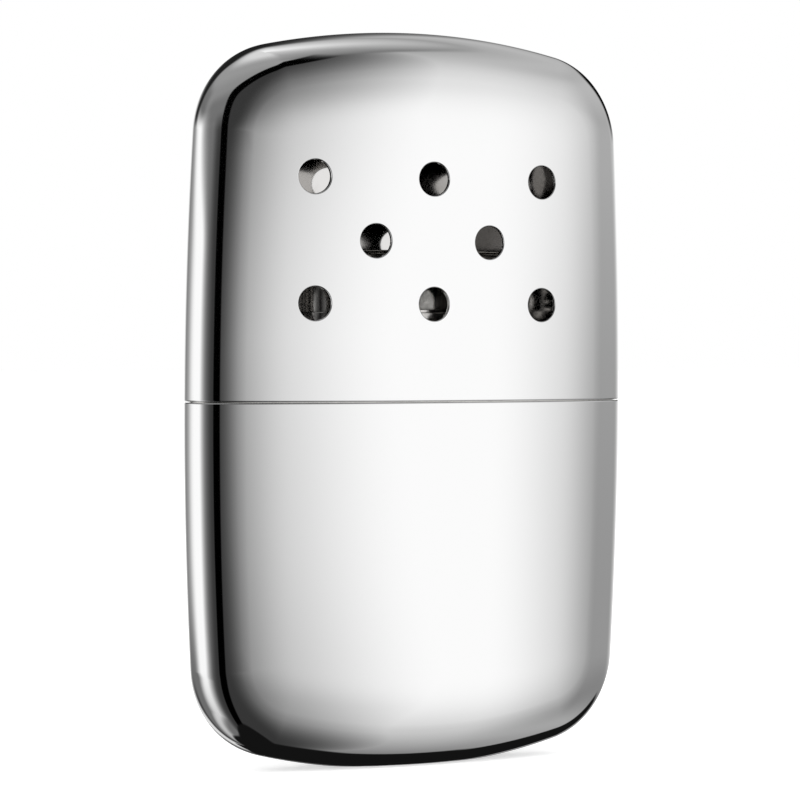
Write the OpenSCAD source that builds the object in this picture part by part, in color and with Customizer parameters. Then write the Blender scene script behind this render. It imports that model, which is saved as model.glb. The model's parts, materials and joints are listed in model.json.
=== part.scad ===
// Catalytic hand warmer. A drawn tank is packed with cotton wadding and closed by a plate with a
// collar and an oblong filler neck. A catalytic burner pushes onto the neck, and a vented lid
// slides down over the burner onto the collar.
// Millimetres. Origin at the centre of the foot, +Z up, front face towards -Y, width along X.

/* [Case] */
// Width of the closed case at the seam
case_w = 66; // [62:1:74]
// Thickness of the closed case at the seam
case_t = 15; // [15:0.5:19]
// Height of the lid above the seam
lid_h = 50; // [44:0.1:60]
// Height of the tank below the seam
tank_h = 49.3; // [38:0.1:60]
// Sheet thickness of the lid and the tank
wall = 0.6; // [0.4:0.1:0.7]
// Radius of the slight bow of the two narrow sides
side_bow_r = 620; // [400:10:2000]
// Radius of the bow of the lid's top end
lid_bow_r = 106; // [85:1:160]
// Radius of the bow of the tank's bottom end
tank_bow_r = 92; // [85:1:160]
// Radius of the four corners seen from the front
corner_r = 12.8; // [10:0.1:17]
// Radius of the sideways bow of the front and back faces
face_bow_r = 136; // [125:1:300]
// Radius of the lengthwise bow of the front and back faces
face_rise_r = 3000; // [1500:50:9000]
// How far the rounding of the rim runs in from the outline
rim_run = 6.5; // [5:0.5:8]
// Fullness of the rim: 2 is an ellipse, more is squarer
rim_power = 2.8; // [2:0.1:3.2]
// How far the soft shoulder of the faces runs in from the outline
shoulder_run = 12.6; // [10:0.1:12.8]
// Share of the thickness that the shoulder takes off at the outline
shoulder_share = 0.2; // [0.1:0.05:0.3]
// Depth taken off the bowed bottom to leave a flat foot
foot_cut = 0.7; // [0.4:0.1:1.2]
// Shadow gap between the lid and the tank
seam_gap = 0.15; // [0.05:0.05:0.3]

/* [Vents] */
// Diameter of each vent hole
vent_d = 4.5; // [3:0.1:6]
// Sideways step between neighbouring vent columns
vent_step_x = 8.65; // [7:0.05:9.5]
// Step between vent rows
vent_step_z = 8.4; // [7:0.1:10]
// Height of the lowest vent row above the seam
vent_row_z = 13.2; // [11:0.1:16]

/* [Neck plate] */
// Sheet thickness of the neck plate
plate_t = 0.5; // [0.4:0.05:0.7]
// Height of the collar that the lid slides over, above the seam
collar_h = 7.5; // [6:0.1:9]
// Length of the collar soldered inside the tank, below the seam
lap_h = 6; // [4:0.5:9]
// Clearance between the collar and the lid, and the solder film in the tank
collar_gap = 0.15; // [0.1:0.05:0.25]
// Rounding of the deck edge
deck_round = 1; // [0.8:0.1:1.4]

/* [Filler neck] */
// Outside length of the filler neck
neck_l = 33.6; // [29:0.2:35]
// Outside width of the filler neck
neck_w = 7.4; // [6.6:0.1:7.6]
// Sheet thickness of the filler neck
neck_wall = 0.5; // [0.3:0.05:0.6]
// Height of the filler neck above the deck
neck_h = 3.7; // [3:0.1:4.5]
// Width of the flange soldered under the deck
neck_flange = 1; // [0.6:0.1:1.2]

/* [Burner] */
// Height of the burner above the deck
housing_h = 13; // [12.8:0.1:16]
// Sheet thickness of the burner housing
housing_wall = 0.4; // [0.3:0.05:0.45]
// Outside rounding of the housing roof
roof_round = 1.2; // [0.8:0.1:1.4]
// Width of the window in the roof
roof_window_w = 5; // [4:0.1:5.4]
// Number of bars across the roof window
bar_count = 4; // [2:1:6]
// Width of each bar across the roof window
bar_w = 1.1; // [0.8:0.1:1.6]
// Width of each arched side window
arch_w = 3.2; // [2:0.1:3.6]
// Height of each arched side window
arch_h = 2.7; // [2.2:0.1:2.8]
// Step between side windows in one row
arch_step = 5.4; // [4.6:0.1:5.8]
// Height of the lower row of side windows above the deck
arch_low_z = 5; // [4.9:0.1:5.1]
// Step between the two rows of side windows
arch_step_z = 3.8; // [3.6:0.1:3.9]
// Height of the burner skirt above the deck
skirt_h = 4.6; // [3.8:0.1:4.7]
// Sheet thickness of the burner skirt
skirt_wall = 0.4; // [0.3:0.05:0.5]
// Width of the foot flange of the skirt
skirt_flange = 0.3; // [0.2:0.05:0.4]
// Radius of the pressed grip bead around the skirt
bead_r = 0.25; // [0.15:0.05:0.3]
// Thickness of the ring that holds the lower gauze up
retainer_t = 0.4; // [0.3:0.05:0.6]
// Width of the rim of that ring
retainer_rim = 1.1; // [0.8:0.1:1.6]
// Thickness of each wire gauze
gauze_t = 0.35; // [0.25:0.05:0.5]
// Width of the wires in the gauzes
gauze_wire = 0.3; // [0.2:0.05:0.5]
// Mesh pitch of the gauzes
gauze_pitch = 1.5; // [1.2:0.1:2.5]

/* [Fits] */
// Clearance between the burner housing and the filler neck
neck_gap = 0.3; // [0.15:0.05:0.4]
// Clearance between stacked and sleeved pieces
stack_gap = 0.05; // [0.02:0.01:0.1]
// Clearance between the wadding and the sheet metal around it
wadding_gap = 0.3; // [0.2:0.05:0.6]
// Head room between the wadding and the neck flange
wadding_drop = 2.5; // [1.5:0.1:4]

/* [Hidden] */
$fn = 48;

// Heights of the main levels, from the foot up.
seam_z = tank_h;
deck_z = seam_z + collar_h;
deck_under_z = deck_z - plate_t;
neck_top_z = deck_z + neck_h;
flange_z = deck_under_z - stack_gap - neck_wall;
plate_inset = wall + collar_gap;

// The burner housing is sized from the neck that it pushes onto.
housing_w = neck_w + 2 * (neck_gap + housing_wall);
housing_l = neck_l + 2 * (neck_gap + housing_wall);
burner_run = housing_l - housing_w;
burner_foot_z = deck_z + stack_gap;
housing_top_z = deck_z + housing_h;
roof_under_z = housing_top_z - housing_wall;
// The stack inside the burner, from the neck up: ring, lower gauze, mat, upper gauze, roof.
inner_l = housing_l - 2 * (housing_wall + stack_gap);
inner_w = housing_w - 2 * (housing_wall + stack_gap);
ring_z = neck_top_z + neck_gap;
lower_gauze_z = ring_z + retainer_t + stack_gap;
mat_z = lower_gauze_z + gauze_t + stack_gap;
upper_gauze_z = roof_under_z - stack_gap - gauze_t;
mat_top_z = upper_gauze_z - stack_gap;
// The upper gauze is drawn in, so that its edge clears the rounding under the roof.
roof_in_round = roof_round - housing_wall;
roof_draw_in = roof_in_round - sqrt(stack_gap * (2 * roof_in_round - stack_gap));

// The wadding is three batts of equal thickness, packed face to face.
wadding_inset = plate_inset + plate_t + wadding_gap;
wadding_low_z = wall + wadding_gap;
wadding_top_z = flange_z - wadding_drop;
batt_t = (case_t - 2 * wadding_inset) / 3;
tuft_rise = wadding_drop - wadding_gap;

chrome = [0.86, 0.87, 0.89];
steel = [0.72, 0.73, 0.75];
cotton = [0.93, 0.92, 0.88];
fibre = [0.52, 0.52, 0.5];

// ---- Outline of one half of the case, as three tangent arcs: side, corner, end ----
// A half is [half width, height to the apex of its end, half thickness, end bow radius, inset].
// Every size but the inset is already drawn in by it, so that all insets stay parallel.
function half(is_lid, inset) =
    [case_w / 2 - inset, (is_lid ? lid_h : tank_h + foot_cut) - inset, case_t / 2 - inset,
     (is_lid ? lid_bow_r : tank_bow_r) - inset, inset];
function side_r(h) = side_bow_r - h[4];
function corner(h) = corner_r - h[4];
function side_centre(h) = [h[0] - side_r(h), 0];
function end_centre(h) = [0, h[1] - h[3]];
// The corner arc touches both others from inside, so its centre lies at known distances from theirs.
function corner_centre(h) =
    let (from = side_centre(h), to = end_centre(h), gap = norm(to - from), way = (to - from) / gap)
    let (r1 = side_r(h) - corner(h), r2 = h[3] - corner(h))
    let (along = (r1 * r1 - r2 * r2 + gap * gap) / (2 * gap))
    from + along * way + sqrt(r1 * r1 - along * along) * [-way[1], way[0]];
function touch_z(h, centre, r) =
    let (v = corner_centre(h) - centre) centre[1] + r * v[1] / norm(v);

// Half width of the outline at height z from the seam.
function half_width(h, z) =
    let (c = corner_centre(h), side = side_centre(h), end = end_centre(h))
    z <= touch_z(h, side, side_r(h)) ? side[0] + sqrt(pow(side_r(h), 2) - z * z)
    : z <= touch_z(h, end, h[3]) ? c[0] + sqrt(pow(corner(h), 2) - pow(z - c[1], 2))
    : sqrt(max(pow(h[3], 2) - pow(z - end[1], 2), 0));

// Distance from a point inside the outline to the nearest of its three arcs.
function inside_by(h, x, z) =
    let (c = corner_centre(h), v = [x, z] - c, low = c - side_centre(h), high = c - end_centre(h))
    let (bearing = atan2(v[1], v[0]))
    bearing >= atan2(low[1], low[0]) && bearing <= atan2(high[1], high[0]) ? corner(h) - norm(v)
    : min(side_r(h) - norm([x, z] - side_centre(h)), h[3] - norm([x, z] - end_centre(h)));

// Half thickness of the case at a point of its front view: a bowed face, a rounded rim and a shoulder.
function face_y(h, x, z) =
    h[2] - x * x / (2 * (face_bow_r - h[4])) - z * z / (2 * (face_rise_r - h[4]));
function rim_share(h, d) =
    let (left = 1 - min(max(d, 0) / (rim_run - h[4]), 1))
    pow(1 - pow(left, rim_power), 1 / rim_power);
function shoulder(h, d) =
    1 - shoulder_share * pow(1 - min(max(d, 0) / (shoulder_run - h[4]), 1), 3);
function half_thickness(h, x, z) =
    let (d = inside_by(h, abs(x), z)) face_y(h, x, z) * rim_share(h, d) * shoulder(h, d);

// ---- Level rings of points around the case ----
rim_steps = 6;
face_steps = 7;
widest_rim = 0.75;
// Shares of the half width at which a ring has its points, closer together on the rim.
function ring_shares(run) =
    [for (i = [0 : face_steps - 1]) (1 - run) * i / face_steps,
     for (i = [rim_steps : -1 : 0]) 1 - run * (1 - cos(90 * i / rim_steps))];
function ring(h, z, level) =
    let (w = half_width(h, z), shares = ring_shares(min((rim_run - h[4]) / w, widest_rim)))
    let (last = len(shares) - 1, x = [for (i = [0 : last - 1]) shares[i] * w])
    let (y = [for (v = x) half_thickness(h, v, z)])
    [for (i = [0 : last - 1]) [x[i], -y[i], level],
     [w, 0, level],
     for (i = [last - 1 : -1 : 0]) [x[i], y[i], level],
     for (i = [1 : last - 1]) [-x[i], y[i], level],
     [-w, 0, level],
     for (i = [last - 1 : -1 : 1]) [-x[i], -y[i], level]];

// Heights from the seam to the end of a half, closer together around the corner.
side_steps = 5;
end_steps = 14;
least_step = 0.05;
function ring_heights(h, low, high) =
    let (turn_z = corner_centre(h)[1])
    [low,
     for (i = [1 : side_steps - 1]) let (z = turn_z * i / side_steps) if (z > low + least_step) z,
     for (i = [0 : end_steps])
        let (z = turn_z + (h[1] - turn_z) * sin(90 * i / end_steps)) if (z < high - least_step) z,
     high];

// Faces run clockwise seen from outside, for rings that turn anticlockwise and climb.
function band(a, b, n) =
    [for (i = [0 : n - 1]) let (j = (i + 1) % n)
        each [[a + i, b + j, a + j], [a + i, b + i, b + j]]];
// Solid through a stack of rings.
module stack(rings) {
    n = len(rings[0]);
    top = (len(rings) - 1) * n;
    polyhedron(
        points = [for (r = rings) each r],
        faces = [[for (i = [0 : n - 1]) i],
                 for (k = [0 : len(rings) - 2]) each band(k * n, (k + 1) * n, n),
                 [for (i = [n - 1 : -1 : 0]) top + i]]);
}
// Cup of sheet metal: the outer rings climb to the closed end, and the inner rings come back down.
module cup(outer, inner) {
    n = len(outer[0]);
    crown = (len(outer) - 1) * n;
    rings = concat(outer, [for (i = [len(inner) - 1 : -1 : 0]) inner[i]]);
    last = (len(rings) - 1) * n;
    polyhedron(
        points = [for (r = rings) each r],
        faces = [for (k = [0 : len(rings) - 2]) if (k * n != crown) each band(k * n, (k + 1) * n, n),
                 each band(last, 0, n),
                 [for (i = [n - 1 : -1 : 0]) crown + i],
                 [for (i = [0 : n - 1]) crown + n + i]]);
}
// The tank's rings sink instead of climbing, so they turn the other way.
function turned(rings) = [for (r = rings) [for (i = [len(r) - 1 : -1 : 0]) r[i]]];
crown_flat = 0.02;
function lid_rings(inset) =
    let (h = half(true, inset))
    [for (z = ring_heights(h, seam_gap, h[1] - crown_flat)) ring(h, z, seam_z + z)];
function tank_rings(inset, low_z) =
    let (h = half(false, inset))
    [for (z = ring_heights(h, 0, seam_z - low_z)) ring(h, z, seam_z - z)];
function level_ring(inset, z) = ring(half(z >= seam_z, inset), abs(z - seam_z), z);

// ---- Slots with round ends, and profiles carried around them ----
module slot(l, w) {
    square([l - w, w], center = true);
    for (side = [-1, 1]) translate([side * (l - w) / 2, 0]) circle(d = w);
}
// The child is a profile drawn as [distance from the slot's middle line, height].
module around_slot(run) {
    for (side = [-1, 1]) {
        translate([side * run / 2, 0, 0]) rotate([0, 0, -90 * side]) rotate_extrude(angle = 180) children();
        rotate([0, 0, 90 + 90 * side]) translate([-run / 2, 0, 0]) rotate([90, 0, 90])
            linear_extrude(run) children();
    }
}
// Half of a box section with one rounded upper corner.
module rounded_half(r, low_z, high_z, round) {
    translate([0, low_z]) square([r - round, high_z - low_z]);
    translate([0, low_z]) square([r, high_z - round - low_z]);
    translate([r - round, high_z - round]) circle(r = round);
}
// Upright sheet with a round top edge.
module upright(r, t, low_z, high_z) {
    translate([r, low_z]) square([t, high_z - t / 2 - low_z]);
    translate([r + t / 2, high_z - t / 2]) circle(d = t);
}
module arch(w, h) {
    translate([-w / 2, 0]) square([w, h - w / 2]);
    translate([0, h - w / 2]) circle(d = w);
}

// ---- Lid ----
through = 1;
module vent_lid() {
    color(chrome) difference() {
        cup(lid_rings(0), lid_rings(wall));
        for (row = [0 : 2]) for (col = [-2 : 2]) if ((row + col) % 2 == 0)
            translate([col * vent_step_x, 0, seam_z + vent_row_z + row * vent_step_z])
                rotate([90, 0, 0]) cylinder(d = vent_d, h = case_t + 2 * through, center = true);
    }
}

// ---- Tank, neck plate and filler neck ----
module tank_shell() {
    color(chrome) cup(turned(tank_rings(0, 0)), turned(tank_rings(wall, wall)));
}

deck_steps = 4;
function deck_rings(inset, top_z, round) =
    [for (z = [seam_z - lap_h, seam_z]) level_ring(inset, z),
     for (i = [0 : deck_steps]) let (turn = 90 * i / deck_steps)
        level_ring(inset + round * (1 - cos(turn)), top_z - round * (1 - sin(turn)))];
module neck_plate() {
    hole_gap = 2 * stack_gap;
    color(steel) difference() {
        cup(deck_rings(plate_inset, deck_z, deck_round),
            deck_rings(plate_inset + plate_t, deck_under_z, deck_round - plate_t));
        translate([0, 0, deck_under_z - through]) linear_extrude(plate_t + 2 * through)
            slot(neck_l + hole_gap, neck_w + hole_gap);
    }
}

module filler_neck() {
    neck_in_r = neck_w / 2 - neck_wall;
    color(steel) around_slot(neck_l - neck_w) {
        upright(neck_in_r, neck_wall, flange_z, neck_top_z);
        translate([neck_in_r, flange_z]) square([neck_wall + neck_flange, neck_wall]);
    }
}

// ---- Wadding ----
module batt(place) {
    color(cotton) intersection() {
        stack(turned(concat([level_ring(wadding_inset, wadding_top_z)],
                            tank_rings(wadding_inset, wadding_low_z))));
        translate([-case_w / 2, (place - 0.5) * batt_t + stack_gap, 0])
            cube([case_w, batt_t - 2 * stack_gap, deck_z]);
    }
}
module wadding_back() { batt(1); }
module wadding_front() { batt(-1); }
// The middle batt is folded up into the mouth of the neck, where the fuel is poured in.
module wadding_core() {
    batt(0);
    tuft_w = batt_t - 2 * stack_gap;
    color(cotton) translate([0, 0, wadding_top_z - tuft_w])
        linear_extrude(tuft_w + tuft_rise) slot(neck_l - 2 * neck_w, tuft_w);
}

// ---- Burner ----
module burner_skirt() {
    skirt_in_r = housing_w / 2 + stack_gap;
    color(steel) around_slot(burner_run) {
        upright(skirt_in_r, skirt_wall, burner_foot_z, deck_z + skirt_h);
        translate([skirt_in_r, burner_foot_z]) square([skirt_wall + skirt_flange, skirt_wall]);
        translate([skirt_in_r + skirt_wall, deck_z + skirt_h / 2]) circle(r = bead_r);
    }
}

module side_windows(row_z, cols) {
    for (col = cols) translate([col * arch_step, 0, row_z]) rotate([90, 0, 0])
        linear_extrude(housing_w + 2 * through, center = true) arch(arch_w, arch_h);
}
module end_windows(row_z) {
    translate([0, 0, row_z]) rotate([90, 0, 90])
        linear_extrude(housing_l + 2 * through, center = true) arch(arch_w, arch_h);
}
module burner_housing() {
    low_row_z = deck_z + arch_low_z;
    high_row_z = low_row_z + arch_step_z;
    bar_step = (burner_run + roof_window_w) / (bar_count + 1);
    color(steel) {
        difference() {
            around_slot(burner_run) difference() {
                rounded_half(housing_w / 2, burner_foot_z, housing_top_z, roof_round);
                rounded_half(housing_w / 2 - housing_wall, burner_foot_z - through, roof_under_z,
                             roof_in_round);
                translate([0, roof_under_z - through])
                    square([roof_window_w / 2, housing_wall + 2 * through]);
            }
            side_windows(low_row_z, [-2 : 2]);
            side_windows(high_row_z, [-1.5 : 1.5]);
            end_windows(low_row_z);
        }
        for (i = [0 : bar_count - 1])
            translate([(i - (bar_count - 1) / 2) * bar_step, 0, roof_under_z + housing_wall / 2])
                cube([bar_w, roof_window_w + housing_wall, housing_wall], center = true);
    }
}

module ring_plate(l, w, t, rim) {
    linear_extrude(t) difference() {
        slot(l, w);
        slot(l - 2 * rim, w - 2 * rim);
    }
}
// Square wire mesh with a soldered edge.
module gauze(l, w) {
    rows = floor((w / 2 - gauze_wire) / gauze_pitch);
    cols = floor((l / 2 - gauze_wire) / gauze_pitch);
    ring_plate(l, w, gauze_t, gauze_wire);
    linear_extrude(gauze_t) intersection() {
        slot(l - gauze_wire, w - gauze_wire);
        union() {
            for (i = [-rows : rows]) translate([0, i * gauze_pitch])
                square([l, gauze_wire], center = true);
            for (i = [-cols : cols]) translate([i * gauze_pitch, 0])
                square([gauze_wire, w], center = true);
        }
    }
}
module upper_gauze() {
    color(steel) translate([0, 0, upper_gauze_z])
        gauze(inner_l - 2 * roof_draw_in, inner_w - 2 * roof_draw_in);
}
module lower_gauze() {
    color(steel) translate([0, 0, lower_gauze_z]) gauze(inner_l, inner_w);
}
// The mat's upper edge is round, as the housing presses it.
module catalyst_mat() {
    color(fibre) around_slot(burner_run) rounded_half(inner_w / 2, mat_z, mat_top_z, roof_in_round);
}
module gauze_ring() {
    color(steel) translate([0, 0, ring_z]) ring_plate(inner_l, inner_w, retainer_t, retainer_rim);
}

tank_shell();
neck_plate();
filler_neck();
wadding_back();
wadding_core();
wadding_front();
vent_lid();
burner_skirt();
burner_housing();
upper_gauze();
catalyst_mat();
lower_gauze();
gauze_ring();
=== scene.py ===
# %% [markdown]
# # A catalytic hand warmer
# A pocket warmer is two drawn cups of chromed sheet metal. The lower cup is the fuel tank, packed
# with cotton and closed by a plate with a filler neck. A small burner with a catalyst pushes onto
# the neck, and the upper cup, the lid, slides over the burner onto a collar and lets air in through
# round vents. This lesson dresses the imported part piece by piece: first the case, whose shape
# follows one rule, then the burner, the cotton, and last the studio that the chrome mirrors.

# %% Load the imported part
import json
import math

import bmesh
import bpy
import numpy as np
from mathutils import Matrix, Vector, noise
from mathutils.geometry import delaunay_2d_cdt

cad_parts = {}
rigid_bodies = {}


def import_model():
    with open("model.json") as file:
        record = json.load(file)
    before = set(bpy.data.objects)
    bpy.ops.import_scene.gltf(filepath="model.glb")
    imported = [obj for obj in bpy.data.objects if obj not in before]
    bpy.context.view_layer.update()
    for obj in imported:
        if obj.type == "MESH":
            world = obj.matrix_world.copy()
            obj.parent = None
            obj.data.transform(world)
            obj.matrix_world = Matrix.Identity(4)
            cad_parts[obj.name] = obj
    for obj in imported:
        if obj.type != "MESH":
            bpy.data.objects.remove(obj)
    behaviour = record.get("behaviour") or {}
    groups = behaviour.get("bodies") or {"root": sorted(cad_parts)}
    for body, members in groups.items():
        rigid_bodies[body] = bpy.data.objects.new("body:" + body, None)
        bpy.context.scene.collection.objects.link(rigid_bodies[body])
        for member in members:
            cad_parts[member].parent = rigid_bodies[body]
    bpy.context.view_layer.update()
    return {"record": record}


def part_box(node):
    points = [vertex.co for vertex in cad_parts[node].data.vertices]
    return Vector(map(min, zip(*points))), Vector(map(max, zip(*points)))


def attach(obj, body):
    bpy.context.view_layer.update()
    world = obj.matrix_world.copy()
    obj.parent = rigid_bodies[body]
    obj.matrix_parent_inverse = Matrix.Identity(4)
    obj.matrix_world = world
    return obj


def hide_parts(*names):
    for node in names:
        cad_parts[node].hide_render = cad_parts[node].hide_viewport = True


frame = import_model()

# %% [markdown]
# ## Sizes
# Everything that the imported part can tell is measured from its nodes, so that each piece lands where
# the construction says. Only the radii of the case are repeated here, because a box doesn't hold them.
# All lengths are metres, as the frame's are; MM and MICRON let a size be written as it is easiest read.

# %% Sizes of the case
MM = 0.001
MICRON = 0.001 * MM
lid_low, lid_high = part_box("vent_lid")
tank_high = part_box("tank_shell")[1]
plate_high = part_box("neck_plate")[1]
SEAM_Z = tank_high.z
HALF_W = tank_high.x
HALF_T = tank_high.y
CROWN_FLAT = 0.02 * MM
LID_H = lid_high.z - SEAM_Z + CROWN_FLAT
FOOT_CUT = 0.7 * MM
TANK_H = SEAM_Z + FOOT_CUT
SHEET = 0.6 * MM
SEAM_GAP = lid_low.z - SEAM_Z
SIDE_R = 620 * MM
CORNER_R = 12.8 * MM
LID_BOW_R = 106 * MM
TANK_BOW_R = 92 * MM
FACE_BOW_R = 136 * MM
FACE_RISE_R = 3000 * MM
RIM_RUN = 6.5 * MM
RIM_POWER = 2.8
SHOULDER_RUN = 12.6 * MM
SHOULDER_SHARE = 0.2
DECK_Z = plate_high.z
COLLAR_INSET = HALF_W - plate_high.x
print("seam at %.1f mm, lid %.1f mm, deck at %.1f mm" % (SEAM_Z / MM, LID_H / MM, DECK_Z / MM))

# %% [markdown]
# ## The rule of the case
# Seen from the front, each half of the case is three tangent arcs: a slightly bowed side, a corner and
# a bowed end. Seen from the side it is a bowed face that rounds off over the last few millimetres, as
# a superellipse. Drawing everything in by an inset gives the inside of the sheet, and the collar too.
# A mirror finish shows every flaw of a mesh, so the rule is also used for the exact normals.


# %% One half of the case as a rule
class Half:
    """The lid (way=1) or the tank (way=-1), drawn in by an inset. z runs from the seam to the end."""

    def __init__(self, way, height, bow_r, inset=0.0, floor=None):
        self.way, self.inset, self.floor = way, inset, floor
        self.w, self.t, self.h = HALF_W - inset, HALF_T - inset, height - inset
        self.run = RIM_RUN - inset
        self.face_r, self.rise_r = FACE_BOW_R - inset, FACE_RISE_R - inset
        radii = [SIDE_R - inset, CORNER_R - inset, bow_r - inset]
        side, end = np.array([self.w - radii[0], 0.0]), np.array([0.0, self.h - radii[2]])
        gap = np.linalg.norm(end - side)
        way_on = (end - side) / gap
        near, far = radii[0] - radii[1], radii[2] - radii[1]
        along = (near**2 - far**2 + gap**2) / (2 * gap)
        aside = math.sqrt(near**2 - along**2)
        corner = side + along * way_on + aside * np.array([-way_on[1], way_on[0]])
        self.centres, self.radii = [side, corner, end], radii
        low, high = corner - side, corner - end
        self.turns = [math.atan2(low[1], low[0]), math.atan2(high[1], high[0])]

    def depth_in(self, x, z):
        """Distance in from the outline, measured from the nearest of its three arcs."""
        x = np.abs(x)
        gaps = [r - np.hypot(x - c[0], z - c[1]) for c, r in zip(self.centres, self.radii)]
        bearing = np.arctan2(z - self.centres[1][1], x - self.centres[1][0])
        on_corner = (bearing >= self.turns[0]) & (bearing <= self.turns[1])
        return np.where(on_corner, gaps[1], np.minimum(gaps[0], gaps[2]))

    def face(self, x, z):
        bow = self.t - x * x / (2 * self.face_r) - z * z / (2 * self.rise_r)
        left = np.clip(1 - self.depth_in(x, z) / (SHOULDER_RUN - self.inset), 0, 1)
        return bow * (1 - SHOULDER_SHARE * left**3)

    def face_normal(self, x, z):
        step = 0.005 * MM
        n = np.stack([self.face(x - step, z) - self.face(x + step, z), np.full_like(x, 2 * step),
                      self.face(x, z - step) - self.face(x, z + step)], -1)
        return n / np.linalg.norm(n, axis=-1, keepdims=True)

    def rim(self, arc, bearing, turn):
        """Points of the rounded rim: turn 0 is its outermost line, and a quarter turn joins the face."""
        centre = np.array([self.centres[i] for i in arc])
        radius = np.array([self.radii[i] for i in arc])
        left = np.cos(turn) ** (2 / RIM_POWER)
        out = radius - self.run * (1 - left)
        x = centre[:, 0] + out * np.cos(bearing)
        z = centre[:, 1] + out * np.sin(bearing)
        y = self.face(x, z) * np.sin(turn) ** (2 / RIM_POWER)
        return np.stack([x, y, self.settle(z)], -1)

    def settle(self, z):
        """Presses the bowed bottom of the tank flat on its foot, with a soft edge."""
        if self.floor is None:
            return z
        soft_edge = 0.1 * MM
        return self.floor - soft_edge * np.logaddexp(0, (self.floor - z) / soft_edge)

    def rim_normal(self, arc, bearing, turn):
        step = math.radians(0.3)
        turn_in = np.clip(turn, 2 * step, math.pi / 2 - 2 * step)
        run_on = self.rim(arc, bearing + step, turn_in) - self.rim(arc, bearing - step, turn_in)
        climb = self.rim(arc, bearing, turn_in + step) - self.rim(arc, bearing, turn_in - step)
        n = np.cross(climb, run_on)
        n[turn < step, 1] = 0
        return n / np.linalg.norm(n, axis=-1, keepdims=True)


lid_rule = Half(1, LID_H, LID_BOW_R)
print("the lid's corner turns from %.1f to %.1f degrees" % tuple(math.degrees(t) for t in lid_rule.turns))

# %% Stations along the outline
RIM_STEPS = 18
ARC_STEPS = (12, 34, 26)


def stations(half, low_z):
    """Arc numbers and bearings from height low_z over the corner to the middle of the end."""
    first, last = half.turns
    start = math.asin(low_z / half.radii[0])
    joints = [start, first, last, math.pi / 2]
    arcs, bearings = [], []
    for arc, steps in enumerate(ARC_STEPS):
        fresh = np.linspace(joints[arc], joints[arc + 1], steps + 1)[(0 if arc == 0 else 1):]
        arcs += [arc] * len(fresh)
        bearings += list(fresh)
    return np.array(arcs), np.array(bearings)


def rim_grid(half, low_z):
    """Rim points and normals as [station, turn], for x and y above 0."""
    arcs, bearings = stations(half, low_z)
    turns = np.linspace(0, math.pi / 2, RIM_STEPS + 1)
    points, normals = [], []
    for turn in turns:
        bearing = bearings.copy()
        left = math.cos(turn) ** (2 / RIM_POWER)
        bearing[0] = math.asin(low_z / (half.radii[0] - half.run * (1 - left)))
        level = np.full(len(arcs), turn)
        points.append(half.rim(arcs, bearing, level))
        normals.append(half.rim_normal(arcs, bearing, level))
    points, normals = np.stack(points, 1), np.stack(normals, 1)
    edge = points[:, -1]
    normals[:, -1] = half.face_normal(edge[:, 0], edge[:, 2])
    return points, normals


print("stations on a quarter of the outline:", sum(ARC_STEPS) + 1)

# %% [markdown]
# ## Welding patches into one sheet
# Each surface is made as a patch of points with their true normals. The patches meet point on point,
# so welding equal points closes the sheet, and the normals are then given to the face corners. Faces
# whose winding disagrees with their normals are turned, so no patch needs to know its own direction.


# %% An object in the scene
def in_scene(name, data):
    """An object that holds a mesh, a lamp or a camera, linked to the scene."""
    obj = bpy.data.objects.new(name, data)
    bpy.context.scene.collection.objects.link(obj)
    return obj


def closed(mesh):
    """True if each edge has two faces."""
    uses = np.zeros(len(mesh.edges), int)
    loop_edges = np.zeros(len(mesh.loops), int)
    mesh.loops.foreach_get("edge_index", loop_edges)
    np.add.at(uses, loop_edges, 1)
    return bool((uses == 2).all())


def tell(name, mesh):
    """Prints the size of a finished mesh."""
    counts = (name, len(mesh.vertices), len(mesh.polygons), closed(mesh))
    print("%s: %d points, %d faces, closed: %s" % counts)


# %% Weld patches
WELD_STEP = 2e-8


class Sheet:
    """A surface gathered from patches of points, normals and faces."""

    def __init__(self):
        self.points, self.normals, self.faces, self.count = [], [], [], 0

    def add(self, points, normals, faces):
        self.points.append(np.asarray(points, float).reshape(-1, 3))
        self.normals.append(np.asarray(normals, float).reshape(-1, 3))
        self.faces += [[i + self.count for i in f] for f in faces]
        self.count += len(self.points[-1])

    def add_grid(self, points, normals, closed=False):
        rows, cols = points.shape[:2]
        faces = []
        for r in range(rows - 1):
            for c in range(cols if closed else cols - 1):
                here, after, on = r * cols, (r + 1) * cols, (c + 1) % cols
                faces.append((here + c, after + c, after + on, here + on))
        self.add(points, normals, faces)

    def build(self, name):
        """Welds the patches, turns each face the way its normals point and makes the object."""
        points, normals = np.concatenate(self.points), np.concatenate(self.normals)
        places = np.round(points / WELD_STEP).astype(np.int64)
        first, same = np.unique(places, axis=0, return_index=True, return_inverse=True)[1:]
        same = same.reshape(-1)
        welded = points[first]
        faces, corner_normals = [], []
        for f in self.faces:
            ids, keep = [], []
            for i in f:
                if same[i] not in ids:
                    ids.append(int(same[i]))
                    keep.append(i)
            if len(ids) < 3:
                continue
            a, b, c = welded[ids[0]], welded[ids[1]], welded[ids[2]]
            if len(ids) == 4:
                flat = np.cross(c - a, welded[ids[3]] - b)
            else:
                flat = np.cross(b - a, c - a)
            if flat @ normals[keep].sum(0) < 0:
                ids.reverse()
                keep.reverse()
            faces.append(ids)
            corner_normals += list(normals[keep])
        mesh = bpy.data.meshes.new(name)
        mesh.from_pydata(welded, [], faces)
        mesh.shade_smooth()
        mesh.normals_split_custom_set(corner_normals)
        tell(name, mesh)
        return in_scene(name, mesh)


# %% [markdown]
# ## Formulas as nodes
# The studio and several materials are formulas of a position or a direction. A small class lets a
# formula be written as it is on paper, and adds a Math node for each sum. `smooth` is the S-shaped
# step between two values, which gives every panel of light a soft edge.


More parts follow.
